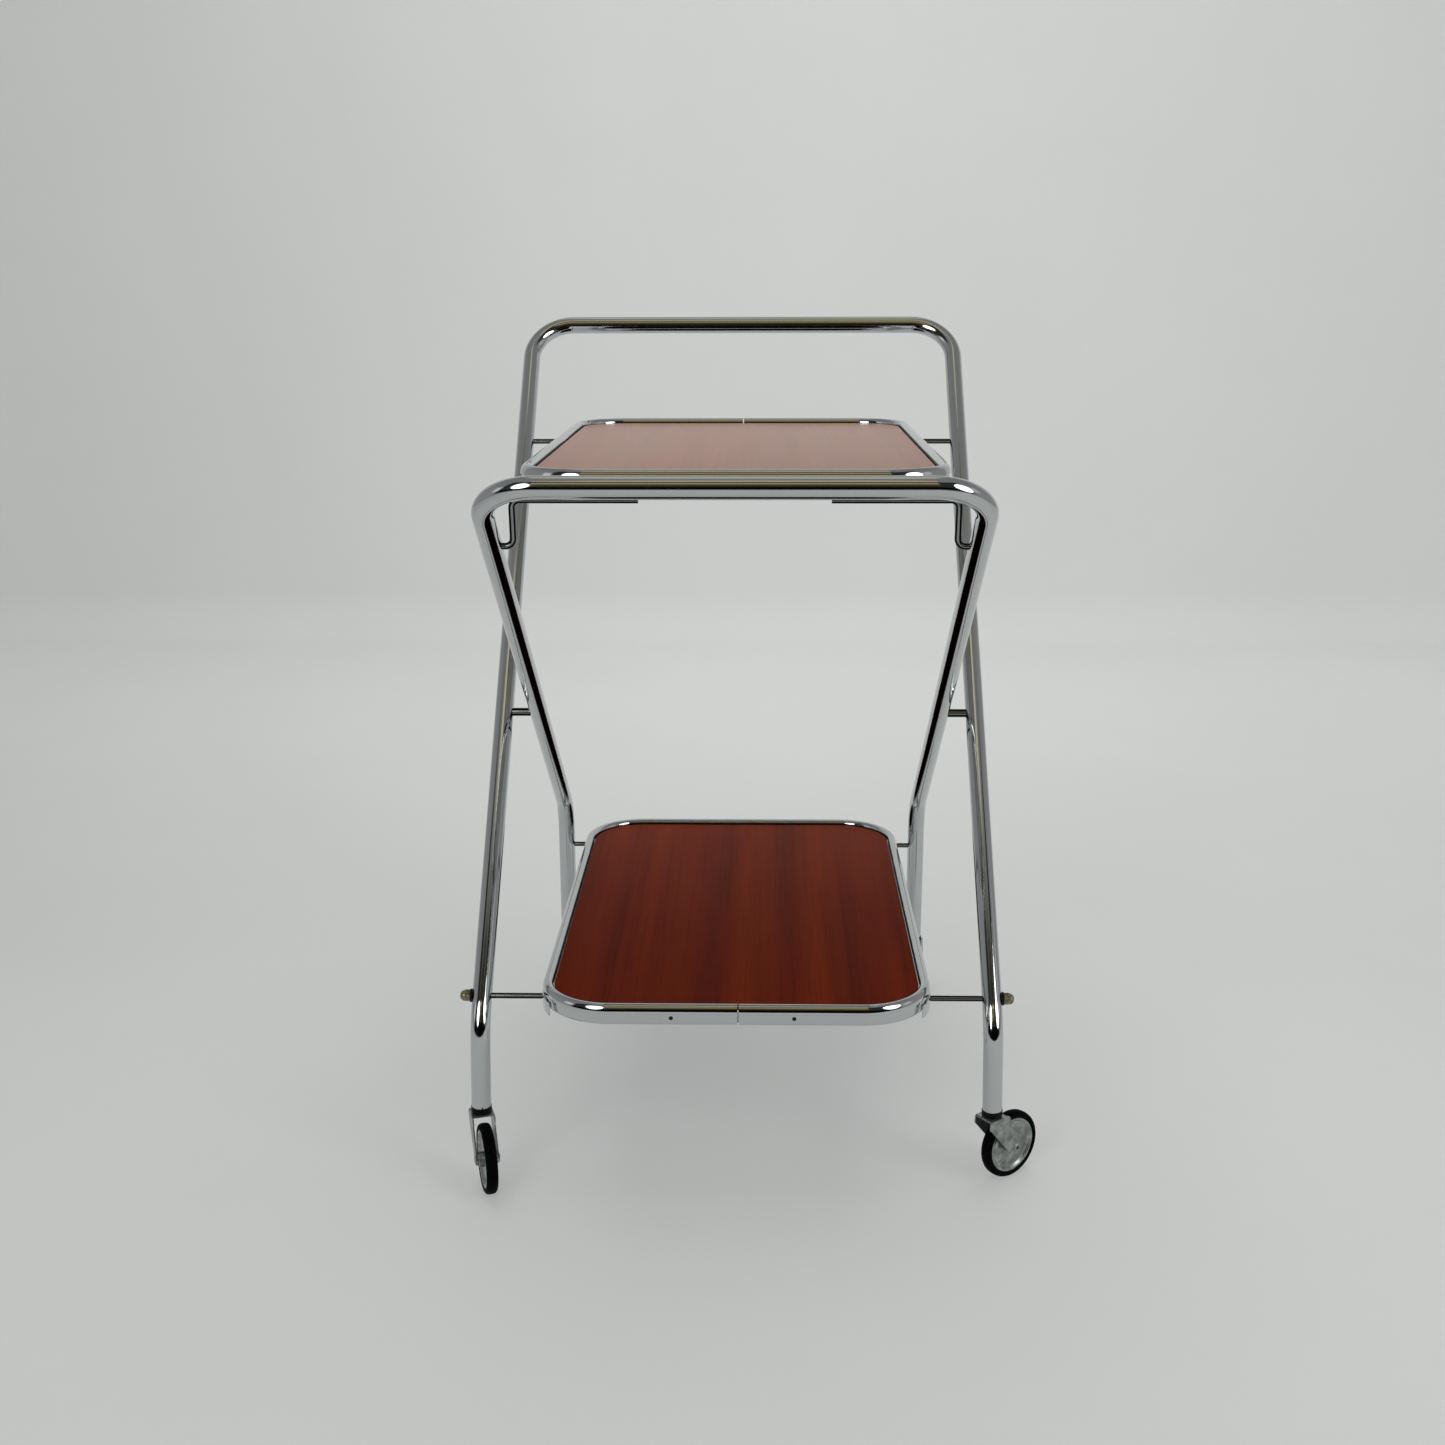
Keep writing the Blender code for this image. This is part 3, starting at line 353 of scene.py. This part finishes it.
def laminate():
    """Hard plastic laminate with a printed red mahogany grain and a smooth, quietly shining face: soft
    darker and brighter bands and fine pores, drawn coarser than real ones, run straight from front to back.
    At a flat angle a pale painted sheen is mixed into its colour in place of a reflection. Where the chrome
    mirrors it, its colour is painted nearly black: painted shade in its reflections. The underside has the
    usual plain pale backing sheet, which the legs mirror."""
    material, tree, place = new_material("woodgrain laminate")
    look = bpy.context.scene.trolley_look
    wide_place = add(tree, "ShaderNodeMapping", {"Vector": place}, Scale=BAND_STRETCH, Location=BAND_SHIFT)
    wide = add(tree, NOISE, {"Vector": wide_place.outputs["Vector"]}, Scale=1 / look.grain, Detail=3,
               Roughness=0.55)
    colour = add(tree, RAMP, {"Fac": wide.outputs["Fac"]},
                 ((0.30, "#581B0A"), (0.46, "#641F0A"), (0.56, "#6A2109"), (0.72, "#76280A")))
    fine_place = add(tree, "ShaderNodeMapping", {"Vector": place}, Scale=PORE_STRETCH)
    along = {"Vector": fine_place.outputs["Vector"]}
    fine = add(tree, NOISE, along, Scale=1 / GRAIN_STREAK, Detail=4, Roughness=0.7)
    streak = add(tree, RAMP, {"Fac": fine.outputs["Fac"]}, ((0.36, 0.72), (0.50, 1.0)))
    pore = add(tree, NOISE, along, Scale=1 / GRAIN_PORE, Detail=2)
    dot = add(tree, RAMP, {"Fac": pore.outputs["Fac"]}, ((0.58, 1.0), (0.70, 0.70)))
    tone = colour.outputs["Color"]
    for layer, share in ((streak, 0.75), (dot, 0.6)):
        mix = add(tree, MIX, {0: share, 6: tone, 7: layer.outputs["Color"]}, data_type="RGBA",
                  blend_type="MULTIPLY")
        tone = mix.outputs[2]
    # Painted sheen: a Fresnel share mixes a pale colour into the base colour at a flat angle, in place of a
    # reflection
    flat = add(tree, "ShaderNodeFresnel", IOR=PAINTED_SHEEN_INDEX)
    painted_sheen = add(tree, MATH, {0: flat.outputs[0], 1: PAINTED_SHEEN_SCALE[0], 2: PAINTED_SHEEN_SCALE[1]}, operation="MULTIPLY_ADD",
               use_clamp=True)
    # Painted shade: where a mirror face shows the laminate, its colour is painted nearly black
    path = add(tree, "ShaderNodeLightPath")
    painted_mirror_shade = add(tree, MATH, {0: path.outputs["Is Glossy Ray"], 1: PAINTED_MIRROR_SHADE}, operation="MULTIPLY")
    facing = add(tree, SPLIT, {"Vector": add(tree, "ShaderNodeTexCoord").outputs["Normal"]})
    under = add(tree, MATH, {0: facing.outputs["Z"], 1: DOWNWARD}, operation="LESS_THAN")
    # Mixes in the painted sheen, the painted shade where mirrors show it, and the pale backing on the
    # underside
    for factor, shade in ((painted_sheen, look.painted_sheen), (painted_mirror_shade, linear("#040202")), (under, look.backing)):
        mix = add(tree, MIX, {0: factor.outputs[0], 6: tone, 7: (*shade, 1)}, data_type="RGBA")
        tone = mix.outputs[2]
    smear = add(tree, NOISE, along, Scale=1 / SMEAR, Detail=3)
    rough = add(tree, RAMP, {"Fac": smear.outputs["Fac"]}, ((0.35, 0.20), (0.70, 0.24)))
    shader = add(tree, PRINCIPLED, {"Base Color": tone, "Roughness": rough.outputs["Color"]},
                 IOR=1.50, Specular_IOR_Level=0.004)
    add(tree, OUTPUT, {"Surface": shader.outputs[0]})
    return material


# Finishes, and the finishes of the CAD nodes that stay
MAKERS = {"chrome": chrome, "thin_chrome_painted_flanks": thin_chrome_painted_flanks, "laminate": laminate, "nickel": nickel,
          "dark_steel": dark_steel, "zinc": zinc, "bush_plastic": bush_plastic, "rubber": rubber}
FITTINGS = {
    "chrome": ("upper_tray_ear_left", "upper_tray_ear_right", "lower_tray_hook_left",
               "lower_tray_hook_right"),
    "thin_chrome_painted_flanks": ("lower_tray_pin_left", "lower_tray_pin_right"),
    "zinc": ("upper_rim_joining_strip", "lower_rim_joining_strip"),
    "nickel": ("acorn_nut_left", "acorn_nut_right"),
    "dark_steel": ("rod_washer_left", "rod_washer_right"),
}
CASTOR_FITTINGS = {"stem_bush": "bush_plastic", "swivel_pin": "zinc", "fork": "zinc", "axle": "zinc"}
made_finishes = {}


def finish_of(key):
    """The material of a finish, made once."""
    if key not in made_finishes:
        made_finishes[key] = MAKERS[key]()
    return made_finishes[key]


def dress(node, key):
    """Gives a CAD node its finish."""
    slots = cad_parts[node].data.materials
    slots.clear()
    slots.append(finish_of(key))


def piece(node, body, key, work, sharp=SHARP):
    """A smooth piece that stands for a CAD node, from the bmesh given, with its finish and its body."""
    bmesh.ops.recalc_face_normals(work, faces=work.faces)
    mesh = bpy.data.meshes.new(f"{node}_smooth")
    work.to_mesh(mesh)
    work.free()
    mesh.polygons.foreach_set("use_smooth", [True] * len(mesh.polygons))
    mesh.set_sharp_from_angle(angle=sharp)
    mesh.materials.append(finish_of(key))
    obj = bpy.data.objects.new(f"{node}_smooth", mesh)
    bpy.context.scene.collection.objects.link(obj)
    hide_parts(node)
    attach(obj, body)


def rounded(corners, bends):
    """A polyline with its corners rounded by arcs."""
    spots = [Vector(corner) for corner in corners]
    path = [spots[0]]
    for before, corner, after, radius in zip(spots, spots[1:], spots[2:], bends):
        back, ahead = (before - corner).normalized(), (after - corner).normalized()
        bend = math.pi - back.angle(ahead)
        middle = corner + (back + ahead).normalized() * (radius / math.cos(bend / 2))
        start = corner + back * radius * math.tan(bend / 2)
        axis = (start - middle).cross(corner + ahead * radius * math.tan(bend / 2) - middle).normalized()
        count = max(3, math.ceil(bend / ARC_STEP))
        for step in range(count + 1):
            path.append(middle + Matrix.Rotation(bend * step / count, 3, axis) @ (start - middle))
    return path + [spots[-1]]


def join_rings(work, rings, around=False):
    """Faces between rings of corners, and from the last ring to the first where it goes all around."""
    count = len(rings[0])
    for first, second in zip(rings, rings[1:] + rings[:1] if around else rings[1:]):
        for k in range(count):
            work.faces.new((first[k], first[(k + 1) % count], second[(k + 1) % count], second[k]))


def swept(path, radius, sides=TUBE_SIDES):
    """A round bar along a path, with flat ends."""
    work = bmesh.new()
    ways = [(b - a).normalized() for a, b in zip(path, path[1:])]
    ways = [ways[0]] + [(a + b).normalized() for a, b in zip(ways, ways[1:])] + [ways[-1]]
    across = ways[0].orthogonal().normalized()
    rings = []
    for spot, way in zip(path, ways):
        across = (across - way * across.dot(way)).normalized()
        other = way.cross(across)
        rings.append([work.verts.new(spot + radius * (math.cos(turn) * across + math.sin(turn) * other))
                      for turn in (math.tau * k / sides for k in range(sides))])
    join_rings(work, rings)
    work.faces.new(rings[0])
    work.faces.new(rings[-1])
    return work


def mirrored(corners):
    """The same corners on the right side."""
    return [(-x, y, z) for x, y, z in corners]


def rim_section(height):
    """The folded sheet of a tray's rim: distance out from the tray's edge, and height. A skirt whose lower
    edge curls inward, a bead that reaches deeper on its outer side, and the ledge that the panel lies on."""
    inner = -2 * BEAD_R
    ledge = -PANEL_DROP - PANEL_T - GAP
    low = -height
    section = [(-BEAD_OUT - back * HEM_R, low + up * HEM_R) for back, up in reversed(HEM_SHARES)]
    section.append((-BEAD_OUT, -BEAD_DEEP - BEAD_UNDER))
    for step in range(BEAD_STEPS + 1):
        angle = math.pi * step / BEAD_STEPS
        out, up = math.cos(angle), math.sin(angle)
        section.append((BEAD_R * (out - 1), (BEAD_DEEP if out > 0 else BEAD_R) * (up - 1)))
    skirt_in = -BEAD_OUT - SHEET_T
    section += [(inner, ledge), (inner - LEDGE_W, ledge), (inner - LEDGE_W, ledge - SHEET_T),
                (inner + SHEET_T, ledge - SHEET_T), (inner + SHEET_T, -BEAD_R), (-BEAD_R, -SHEET_T),
                (skirt_in, -BEAD_DEEP), (skirt_in, low)]
    return section


def edge_loop(length, corner):
    """Spots and outward ways round a tray from the middle of its front, turned by quarter rounds."""
    half_x, half_y = TRAY_WIDTH / 2 - corner, length / 2 - corner
    loop = []
    for sign_x, sign_y, start in ((1, -1, -90), (1, 1, 0), (-1, 1, 90), (-1, -1, 180)):
        for step in range(CORNER_STEPS + 1):
            angle = math.radians(start + 90 * step / CORNER_STEPS)
            loop.append((sign_x * half_x, sign_y * half_y, math.cos(angle), math.sin(angle)))
    return loop


def tray_place(level):
    """The matrix that puts a tray's shape where the tray is."""
    middle, top, _, _, _, seam_side = TRAYS[level]
    turn = Matrix.Identity(4) if seam_side > 0 else Matrix.Rotation(math.pi, 4, "Z")
    place = Matrix.Translation((0, middle, top)) @ turn
    if level == "upper":
        hinge = Vector(UPPER_HINGE)
        tip = Matrix.Translation(hinge) @ Matrix.Rotation(-UPPER_PITCH, 4, "X") @ Matrix.Translation(-hinge)
        place = tip @ place
    return place


def rim_shape(level):
    """A tray's rim, open at its butt seam."""
    _, _, length, corner, height, seam_side = TRAYS[level]
    section = rim_section(height)
    front = -(length / 2 - corner)
    seam = seam_side * SEAM_X
    loop = [(seam + SEAM_GAP / 2, front, 0, -1), *edge_loop(length, corner),
            (seam - SEAM_GAP / 2, front, 0, -1)]
    work = bmesh.new()
    rings = [[work.verts.new((x + way_x * (corner + out), y + way_y * (corner + out), z))
              for out, z in section] for x, y, way_x, way_y in loop]
    join_rings(work, rings)
    work.faces.new(rings[0])
    work.faces.new(rings[-1])
    bmesh.ops.transform(work, matrix=tray_place(level), verts=work.verts)
    return work


def panel_shape(level):
    """The laminated board in a tray, with a small round along its upper edge."""
    _, _, length, corner, _, _ = TRAYS[level]
    out = corner - 2 * BEAD_R - PANEL_GAP
    levels = ((out, -PANEL_DROP - PANEL_T),
              *((out - back, -PANEL_DROP - down) for back, down in PANEL_ROUND))
    work = bmesh.new()
    rings = [[work.verts.new((x + way_x * reach, y + way_y * reach, z))
              for x, y, way_x, way_y in edge_loop(length, corner)] for reach, z in levels]
    join_rings(work, rings)
    work.faces.new(rings[0])
    work.faces.new(rings[-1])
    bmesh.ops.transform(work, matrix=tray_place(level), verts=work.verts)
    return work


def rivet_shape(level, x):
    """A small domed rivet on the outside of a rim's skirt, with its shank."""
    _, _, length, _, height, seam_side = TRAYS[level]
    spot = Vector((seam_side * x, -length / 2 + BEAD_OUT, -(BEAD_R + BEAD_UNDER + height) / 2))
    work = bmesh.new()
    turns = [math.tau * k / RIVET_SIDES for k in range(RIVET_SIDES)]
    rings = [[work.verts.new(spot + Vector((radius * math.cos(turn), -out, radius * math.sin(turn))))
              for turn in turns] for radius, out in ((RIVET_SHANK[0], -RIVET_SHANK[1]), *RIVET_DOME)]
    join_rings(work, rings)
    tip = work.verts.new(spot + Vector((0, -RIVET_TOP, 0)))
    for k in range(RIVET_SIDES):
        work.faces.new((rings[-1][k], rings[-1][(k + 1) % RIVET_SIDES], tip))
    work.faces.new(rings[0])
    bmesh.ops.transform(work, matrix=tray_place(level), verts=work.verts)
    return work


def wheel_shape(castor, section):
    """A turned ring on a castor's axle, from its half section and that section's mirror."""
    x, y, turn = CASTORS[castor]
    stem = Matrix.Translation((x, y, 0)) @ Matrix.Rotation(turn, 4, "Z")
    pose = stem @ Matrix.Translation((0, TRAIL, WHEEL_R))
    ring = [*section, *((radius, -half) for radius, half in reversed(section))]
    work = bmesh.new()
    turns = [math.tau * k / WHEEL_STEPS for k in range(WHEEL_STEPS)]
    rings = [[work.verts.new(pose @ Vector((half, radius * math.cos(angle), radius * math.sin(angle))))
              for radius, half in ring] for angle in turns]
    join_rings(work, rings, around=True)
    return work


def backdrop_mesh(wall):
    """A floor that turns up into a wall: one sheet bent along a quarter round."""
    line = [(FLOOR_FRONT, 0.0)]
    for step in range(CURVE_STEPS + 1):
        angle = math.pi / 2 * step / CURVE_STEPS
        line.append((wall - CURVE_R + CURVE_R * math.sin(angle), CURVE_R - CURVE_R * math.cos(angle)))
    line.append((wall, WALL_HEIGHT))
    sheet = bmesh.new()
    rows = [[sheet.verts.new((x, y, z)) for y, z in line] for x in (-WALL_SIDE, WALL_SIDE)]
    for i in range(len(line) - 1):
        sheet.faces.new((rows[0][i], rows[0][i + 1], rows[1][i + 1], rows[1][i])).smooth = True
    sheet.normal_update()
    mesh = bpy.data.meshes.new("backdrop")
    sheet.to_mesh(mesh)
    sheet.free()
    obj = bpy.data.objects.new("backdrop", mesh)
    bpy.context.scene.collection.objects.link(obj)
    return obj


def backdrop_paint(pale, even):
    """Matt pale grey studio floor and wall. Part of the tone is even all over, and the rest takes the
    trolley's shadows. Its colour is painted darker toward the front and the sides, most on the left: a
    painted falloff of the studio light."""
    material, tree, place = new_material("matt studio paint")
    across = add(tree, SPLIT, {"Vector": place})
    # Painted falloff of light: the colour is made darker toward the front, and toward the sides
    front = add(tree, RANGE, {"Value": across.outputs["Y"]}, From_Min=PAINTED_FALLOFF_Y[0], From_Max=PAINTED_FALLOFF_Y[1])
    depth = add(tree, RAMP, {"Fac": front.outputs[0]}, ((0.0, 0.80), (0.5, 0.835), (0.95, 1.0)))
    side = add(tree, RANGE, {"Value": across.outputs["X"]}, From_Min=PAINTED_FALLOFF_X[0], From_Max=PAINTED_FALLOFF_X[1])
    painted_side_falloff = add(tree, RAMP, {"Fac": side.outputs[0]}, ((0.0, 0.86), (0.55, 1.0), (1.0, 0.96)))
    depth.color_ramp.interpolation = painted_side_falloff.color_ramp.interpolation = "EASE"
    scuff = add(tree, NOISE, {"Vector": place}, Scale=1 / SCUFF, Detail=5, Roughness=0.6)
    tone = add(tree, RAMP, {"Fac": scuff.outputs["Fac"]}, ((0.35, 0.98), (0.70, 1.0)))
    colour = (*pale, 1)
    for layer in (painted_side_falloff, tone, depth):
        mix = add(tree, MIX, {0: 1, 6: colour, 7: layer.outputs["Color"]}, data_type="RGBA",
                  blend_type="MULTIPLY")
        colour = mix.outputs[2]
    lit = add(tree, "ShaderNodeBsdfDiffuse", {"Color": colour})
    glow = add(tree, "ShaderNodeEmission", {"Color": colour}, Strength=1)
    path = add(tree, "ShaderNodeLightPath")
    seen = add(tree, MATH, {0: path.outputs["Is Camera Ray"], 1: path.outputs["Is Glossy Ray"]},
               operation="MAXIMUM")
    share = add(tree, MATH, {0: seen.outputs[0], 1: even}, operation="MULTIPLY")
    mix = add(tree, "ShaderNodeMixShader", {0: share.outputs[0], 1: lit.outputs[0], 2: glow.outputs[0]})
    add(tree, OUTPUT, {"Surface": mix.outputs[0]})
    return material


def soft_lamp(name, turn, rise, reach, size, level, shape, mirrored_in_metal):
    """A soft box: turn and rise say where it stands round the trolley, in degrees, size how wide and high
    it looks from there, in degrees, and level how bright its face is."""
    aim = Vector((0, 0, LAMP_AIM))
    across = reach * math.cos(math.radians(rise))
    place = aim + Vector((across * math.sin(math.radians(turn)), across * math.cos(math.radians(turn)),
                          reach * math.sin(math.radians(rise))))
    data = bpy.data.lights.new(name, "AREA")
    data.shape = shape
    data.size = 2 * reach * math.tan(math.radians(size[0] / 2))
    data.size_y = 2 * reach * math.tan(math.radians(size[1] / 2))
    data.energy = level * math.pi * data.size * data.size_y
    lamp = bpy.data.objects.new(name, data)
    lamp.location = place
    lamp.rotation_euler = (aim - place).to_track_quat("-Z", "Y").to_euler()
    lamp.visible_camera = False
    lamp.visible_glossy = mirrored_in_metal
    bpy.context.scene.collection.objects.link(lamp)


def dark_screen(reach, half, high):
    """A black screen low behind the camera, which only mirror faces see."""
    mesh = bpy.data.meshes.new("dark_screen")
    mesh.from_pydata([(-half, reach, 0), (half, reach, 0), (half, reach, high), (-half, reach, high)], [],
                     [(0, 1, 2, 3)])
    material, tree, _ = new_material("black cloth")
    cloth = add(tree, "ShaderNodeEmission", Color=(*linear("#040404"), 1), Strength=1)
    add(tree, OUTPUT, {"Surface": cloth.outputs[0]})
    mesh.materials.append(material)
    screen = bpy.data.objects.new("dark_screen", mesh)
    bpy.context.scene.collection.objects.link(screen)
    screen.visible_camera = screen.visible_diffuse = screen.visible_shadow = False


def room_world(pale, level):
    """Pale to the camera. To the trolley it is the studio: a grey ceiling and sides, and a dark room with
    a few bright places behind the camera."""
    world = bpy.data.worlds.new("studio")
    bpy.context.scene.world = world
    world.use_nodes = True
    tree = world.node_tree
    tree.nodes.clear()
    parts = add(tree, SPLIT, {"Vector": add(tree, "ShaderNodeTexCoord").outputs["Generated"]})
    turn = add(tree, MATH, {0: parts.outputs["X"], 1: parts.outputs["Y"]}, operation="ARCTAN2")
    rise = add(tree, MATH, {0: parts.outputs["Z"]}, operation="ARCSINE")
    lift = add(tree, RANGE, {"Value": rise.outputs[0]}, From_Min=-math.pi / 2, From_Max=math.pi / 2)
    colour = add(tree, RAMP, {"Fac": lift.outputs[0]}, ROOM_GREYS).outputs["Color"]
    for middle, high, half_turn, half_rise, edge, code, bright in ROOM:
        away = add(tree, MATH, {0: turn.outputs[0], 1: math.radians(middle)}, operation="SUBTRACT")
        near = add(tree, MATH, {0: away.outputs[0], 1: math.pi, 2: -math.pi}, operation="WRAP")
        over = add(tree, MATH, {0: rise.outputs[0], 1: math.radians(high)}, operation="SUBTRACT")
        inside = None
        for offset, half in ((near, half_turn), (over, half_rise)):
            size = add(tree, MATH, {0: offset.outputs[0]}, operation="ABSOLUTE")
            fade = add(tree, RANGE, {"Value": size.outputs[0]}, interpolation_type="SMOOTHSTEP",
                       From_Min=math.radians(half + edge / 2), From_Max=math.radians(half - edge / 2))
            inside = fade if inside is None else add(
                tree, MATH, {0: inside.outputs[0], 1: fade.outputs[0]}, operation="MULTIPLY")
        patch = tuple(bright * c for c in linear(code))
        paint = add(tree, MIX, {0: inside.outputs[0], 6: colour, 7: (*patch, 1)}, data_type="RGBA")
        colour = paint.outputs[2]
    room = add(tree, "ShaderNodeBackground", {"Color": colour}, Strength=level)
    seen = add(tree, "ShaderNodeBackground", Color=(*pale, 1), Strength=1)
    path = add(tree, "ShaderNodeLightPath")
    mix = add(tree, "ShaderNodeMixShader", {0: path.outputs["Is Camera Ray"], 1: room.outputs[0],
                                            2: seen.outputs[0]})
    add(tree, "ShaderNodeOutputWorld", {"Surface": mix.outputs[0]})


def photo_camera():
    """The camera of the photograph."""
    forward = Vector((math.sin(CAMERA_YAW) * math.cos(CAMERA_PITCH),
                      math.cos(CAMERA_YAW) * math.cos(CAMERA_PITCH), -math.sin(CAMERA_PITCH)))
    level = Vector((math.cos(CAMERA_YAW), -math.sin(CAMERA_YAW), 0))
    upright = level.cross(forward)
    right = math.cos(CAMERA_ROLL) * level + math.sin(CAMERA_ROLL) * upright
    up = math.cos(CAMERA_ROLL) * upright - math.sin(CAMERA_ROLL) * level
    data = bpy.data.cameras.new("photo_camera")
    data.sensor_width = SENSOR
    data.lens = SENSOR * FOCAL / IMAGE_SIDE
    camera = bpy.data.objects.new("photo_camera", data)
    turn = Matrix((right, up, -forward)).transposed().to_4x4()
    camera.matrix_world = Matrix.Translation(CAMERA_PLACE) @ turn
    bpy.context.scene.collection.objects.link(camera)
    bpy.context.scene.camera = camera


def tint(name, description, code):
    """A colour setting."""
    return bpy.props.FloatVectorProperty(name=name, description=description, subtype="COLOR", size=3,
                                         min=0, max=1, default=linear(code))


def length(name, description, default):
    """A length setting in metres."""
    return bpy.props.FloatProperty(name=name, description=description, default=default, min=0.0001,
                                   unit="LENGTH", precision=4)


class TrolleyLook(bpy.types.PropertyGroup):
    """Sizes and colours of the finishes."""
    chrome_tint: tint("Chrome", "Tint of the chrome plate", "#C2C5C6")
    # The laminate's painted sheen: a pale colour mixed in at a flat angle in place of a reflection
    painted_sheen: tint("Haze", "Colour of the haze on the laminate at a flat angle", "#C4AFA2")
    backing: tint("Backing", "Colour of the panels' underside", "#B9BBB8")
    wipe: length("Wipe marks", "Width of the wipe marks on the chrome", 9 * MM)
    grain: length("Grain", "Width of the laminate's broad bands", 34 * MM)
    blotch: length("Blotches", "Width of the blotches on the zinc plate", 7 * MM)


class TrolleyStage(bpy.types.PropertyGroup):
    """Sizes and colours of the stage."""
    wall: length("Wall", "Distance of the wall behind the trolley", 2.2)
    pale: tint("Backdrop", "Colour of the backdrop", "#DDDFDE")
    even: bpy.props.FloatProperty(name="Even tone", description="Share of the backdrop's tone that no shadow "
                                  "reaches", default=0.50, min=0, max=1, subtype="FACTOR")
    level: bpy.props.FloatProperty(name="Room", description="Brightness of the room", default=1.0)


class TROLLEY_OT_frames(bpy.types.Operator):
    """Make the two tube frames with their rods, pivot pins and wire supports."""
    bl_idname = "trolley.frames"
    bl_label = "Frames"

    def execute(self, context):
        for body, corners in (("outer_frame", OUTER_CORNERS), ("inner_frame", INNER_CORNERS)):
            knee, bend = FRAME_BENDS
            path = rounded([*corners, *reversed(mirrored(corners))], (knee, bend, bend, knee))
            piece(f"{body}_tube", body, "chrome", swept(path, TUBE_R))
        for node, ends in (("rear_rod", REAR_ROD), ("front_rod", FRONT_ROD)):
            rod = [Vector(spot) for spot in ends]
            piece(node, "outer_frame", "thin_chrome_painted_flanks", swept(rod, ROD_R, ROD_SIDES))
        for side, mirror in (("left", list), ("right", mirrored)):
            pin = [Vector(spot) for spot in mirror(PIVOT_PIN)]
            piece(f"pivot_pin_{side}", "outer_frame", "thin_chrome_painted_flanks", swept(pin, PIVOT_R, PIN_SIDES))
            wire = rounded(mirror(WIRE_CORNERS), (WIRE_BEND, WIRE_BEND))
            piece(f"upper_tray_wire_{side}", "inner_frame", "thin_chrome_painted_flanks", swept(wire, WIRE_R, ROD_SIDES))
        return {"FINISHED"}


class TROLLEY_OT_trays(bpy.types.Operator):
    """Make the trays' rims and laminated panels."""
    bl_idname = "trolley.trays"
    bl_label = "Trays"

    def execute(self, context):
        for level in TRAYS:
            body = f"{level}_tray"
            piece(f"{level}_tray_rim", body, "chrome", rim_shape(level), RIM_SHARP)
            piece(f"{level}_tray_panel", body, "laminate", panel_shape(level), PANEL_SHARP)
            for side, x in zip(("left", "right"), RIVET_X):
                piece(f"{level}_rim_rivet_{side}", body, "dark_steel", rivet_shape(level, x))
        return {"FINISHED"}


class TROLLEY_OT_wheels(bpy.types.Operator):
    """Make the castors' tyres and hubs."""
    bl_idname = "trolley.wheels"
    bl_label = "Wheels"

    def execute(self, context):
        for castor in CASTORS:
            body = f"{castor}_wheel"
            piece(f"{castor}_tyre", body, "rubber", wheel_shape(castor, TYRE_SECTION), TYRE_SHARP)
            piece(f"{castor}_wheel_hub", body, "zinc", wheel_shape(castor, HUB_SECTION))
        return {"FINISHED"}


class TROLLEY_OT_fittings(bpy.types.Operator):
    """Give the CAD nodes that stay their finishes."""
    bl_idname = "trolley.fittings"
    bl_label = "Fittings"

    def execute(self, context):
        for key, nodes in FITTINGS.items():
            for node in nodes:
                dress(node, key)
        for castor in CASTORS:
            for part, key in CASTOR_FITTINGS.items():
                dress(f"{castor}_{part}", key)
        return {"FINISHED"}


class TROLLEY_OT_stage(bpy.types.Operator):
    """Make the backdrop, the lamps, the room and the camera."""
    bl_idname = "trolley.stage"
    bl_label = "Stage"

    def execute(self, context):
        values = context.scene.trolley_stage
        sheet = backdrop_mesh(values.wall)
        sheet.data.materials.append(backdrop_paint(values.pale, values.even))
        dark_screen(*SCREEN)
        for lamp in SOFT_LAMPS:
            soft_lamp(*lamp)
        room_world(values.pale, values.level)
        photo_camera()
        return {"FINISHED"}


class TROLLEY_PT_panel(bpy.types.Panel):
    """Lists the trolley's tools."""
    bl_label = "Trolley"
    bl_idname = "TROLLEY_PT_panel"
    bl_space_type = "VIEW_3D"
    bl_region_type = "UI"
    bl_category = "Trolley"

    def draw(self, context):
        for operator in OPERATORS:
            self.layout.operator(operator.bl_idname)
        for values in (context.scene.trolley_look, context.scene.trolley_stage):
            for name in values.bl_rna.properties.keys():
                if name not in ("rna_type", "name"):
                    self.layout.prop(values, name)


OPERATORS = (TROLLEY_OT_frames, TROLLEY_OT_trays, TROLLEY_OT_wheels, TROLLEY_OT_fittings, TROLLEY_OT_stage)
CLASSES = (TrolleyLook, TrolleyStage, *OPERATORS, TROLLEY_PT_panel)


def register():
    """Registers the classes and their settings."""
    for item in CLASSES:
        bpy.utils.register_class(item)
    bpy.types.Scene.trolley_look = bpy.props.PointerProperty(type=TrolleyLook)
    bpy.types.Scene.trolley_stage = bpy.props.PointerProperty(type=TrolleyStage)


def unregister():
    """Removes the classes and their settings."""
    del bpy.types.Scene.trolley_stage
    del bpy.types.Scene.trolley_look
    for item in reversed(CLASSES):
        bpy.utils.unregister_class(item)


def main():
    """Makes everything in order."""
    register()
    scene = bpy.context.scene
    scene.view_settings.view_transform = "Standard"
    bpy.ops.trolley.frames()
    bpy.ops.trolley.trays()
    bpy.ops.trolley.wheels()
    bpy.ops.trolley.fittings()
    bpy.ops.trolley.stage()


if __name__ == "__main__":
    main()
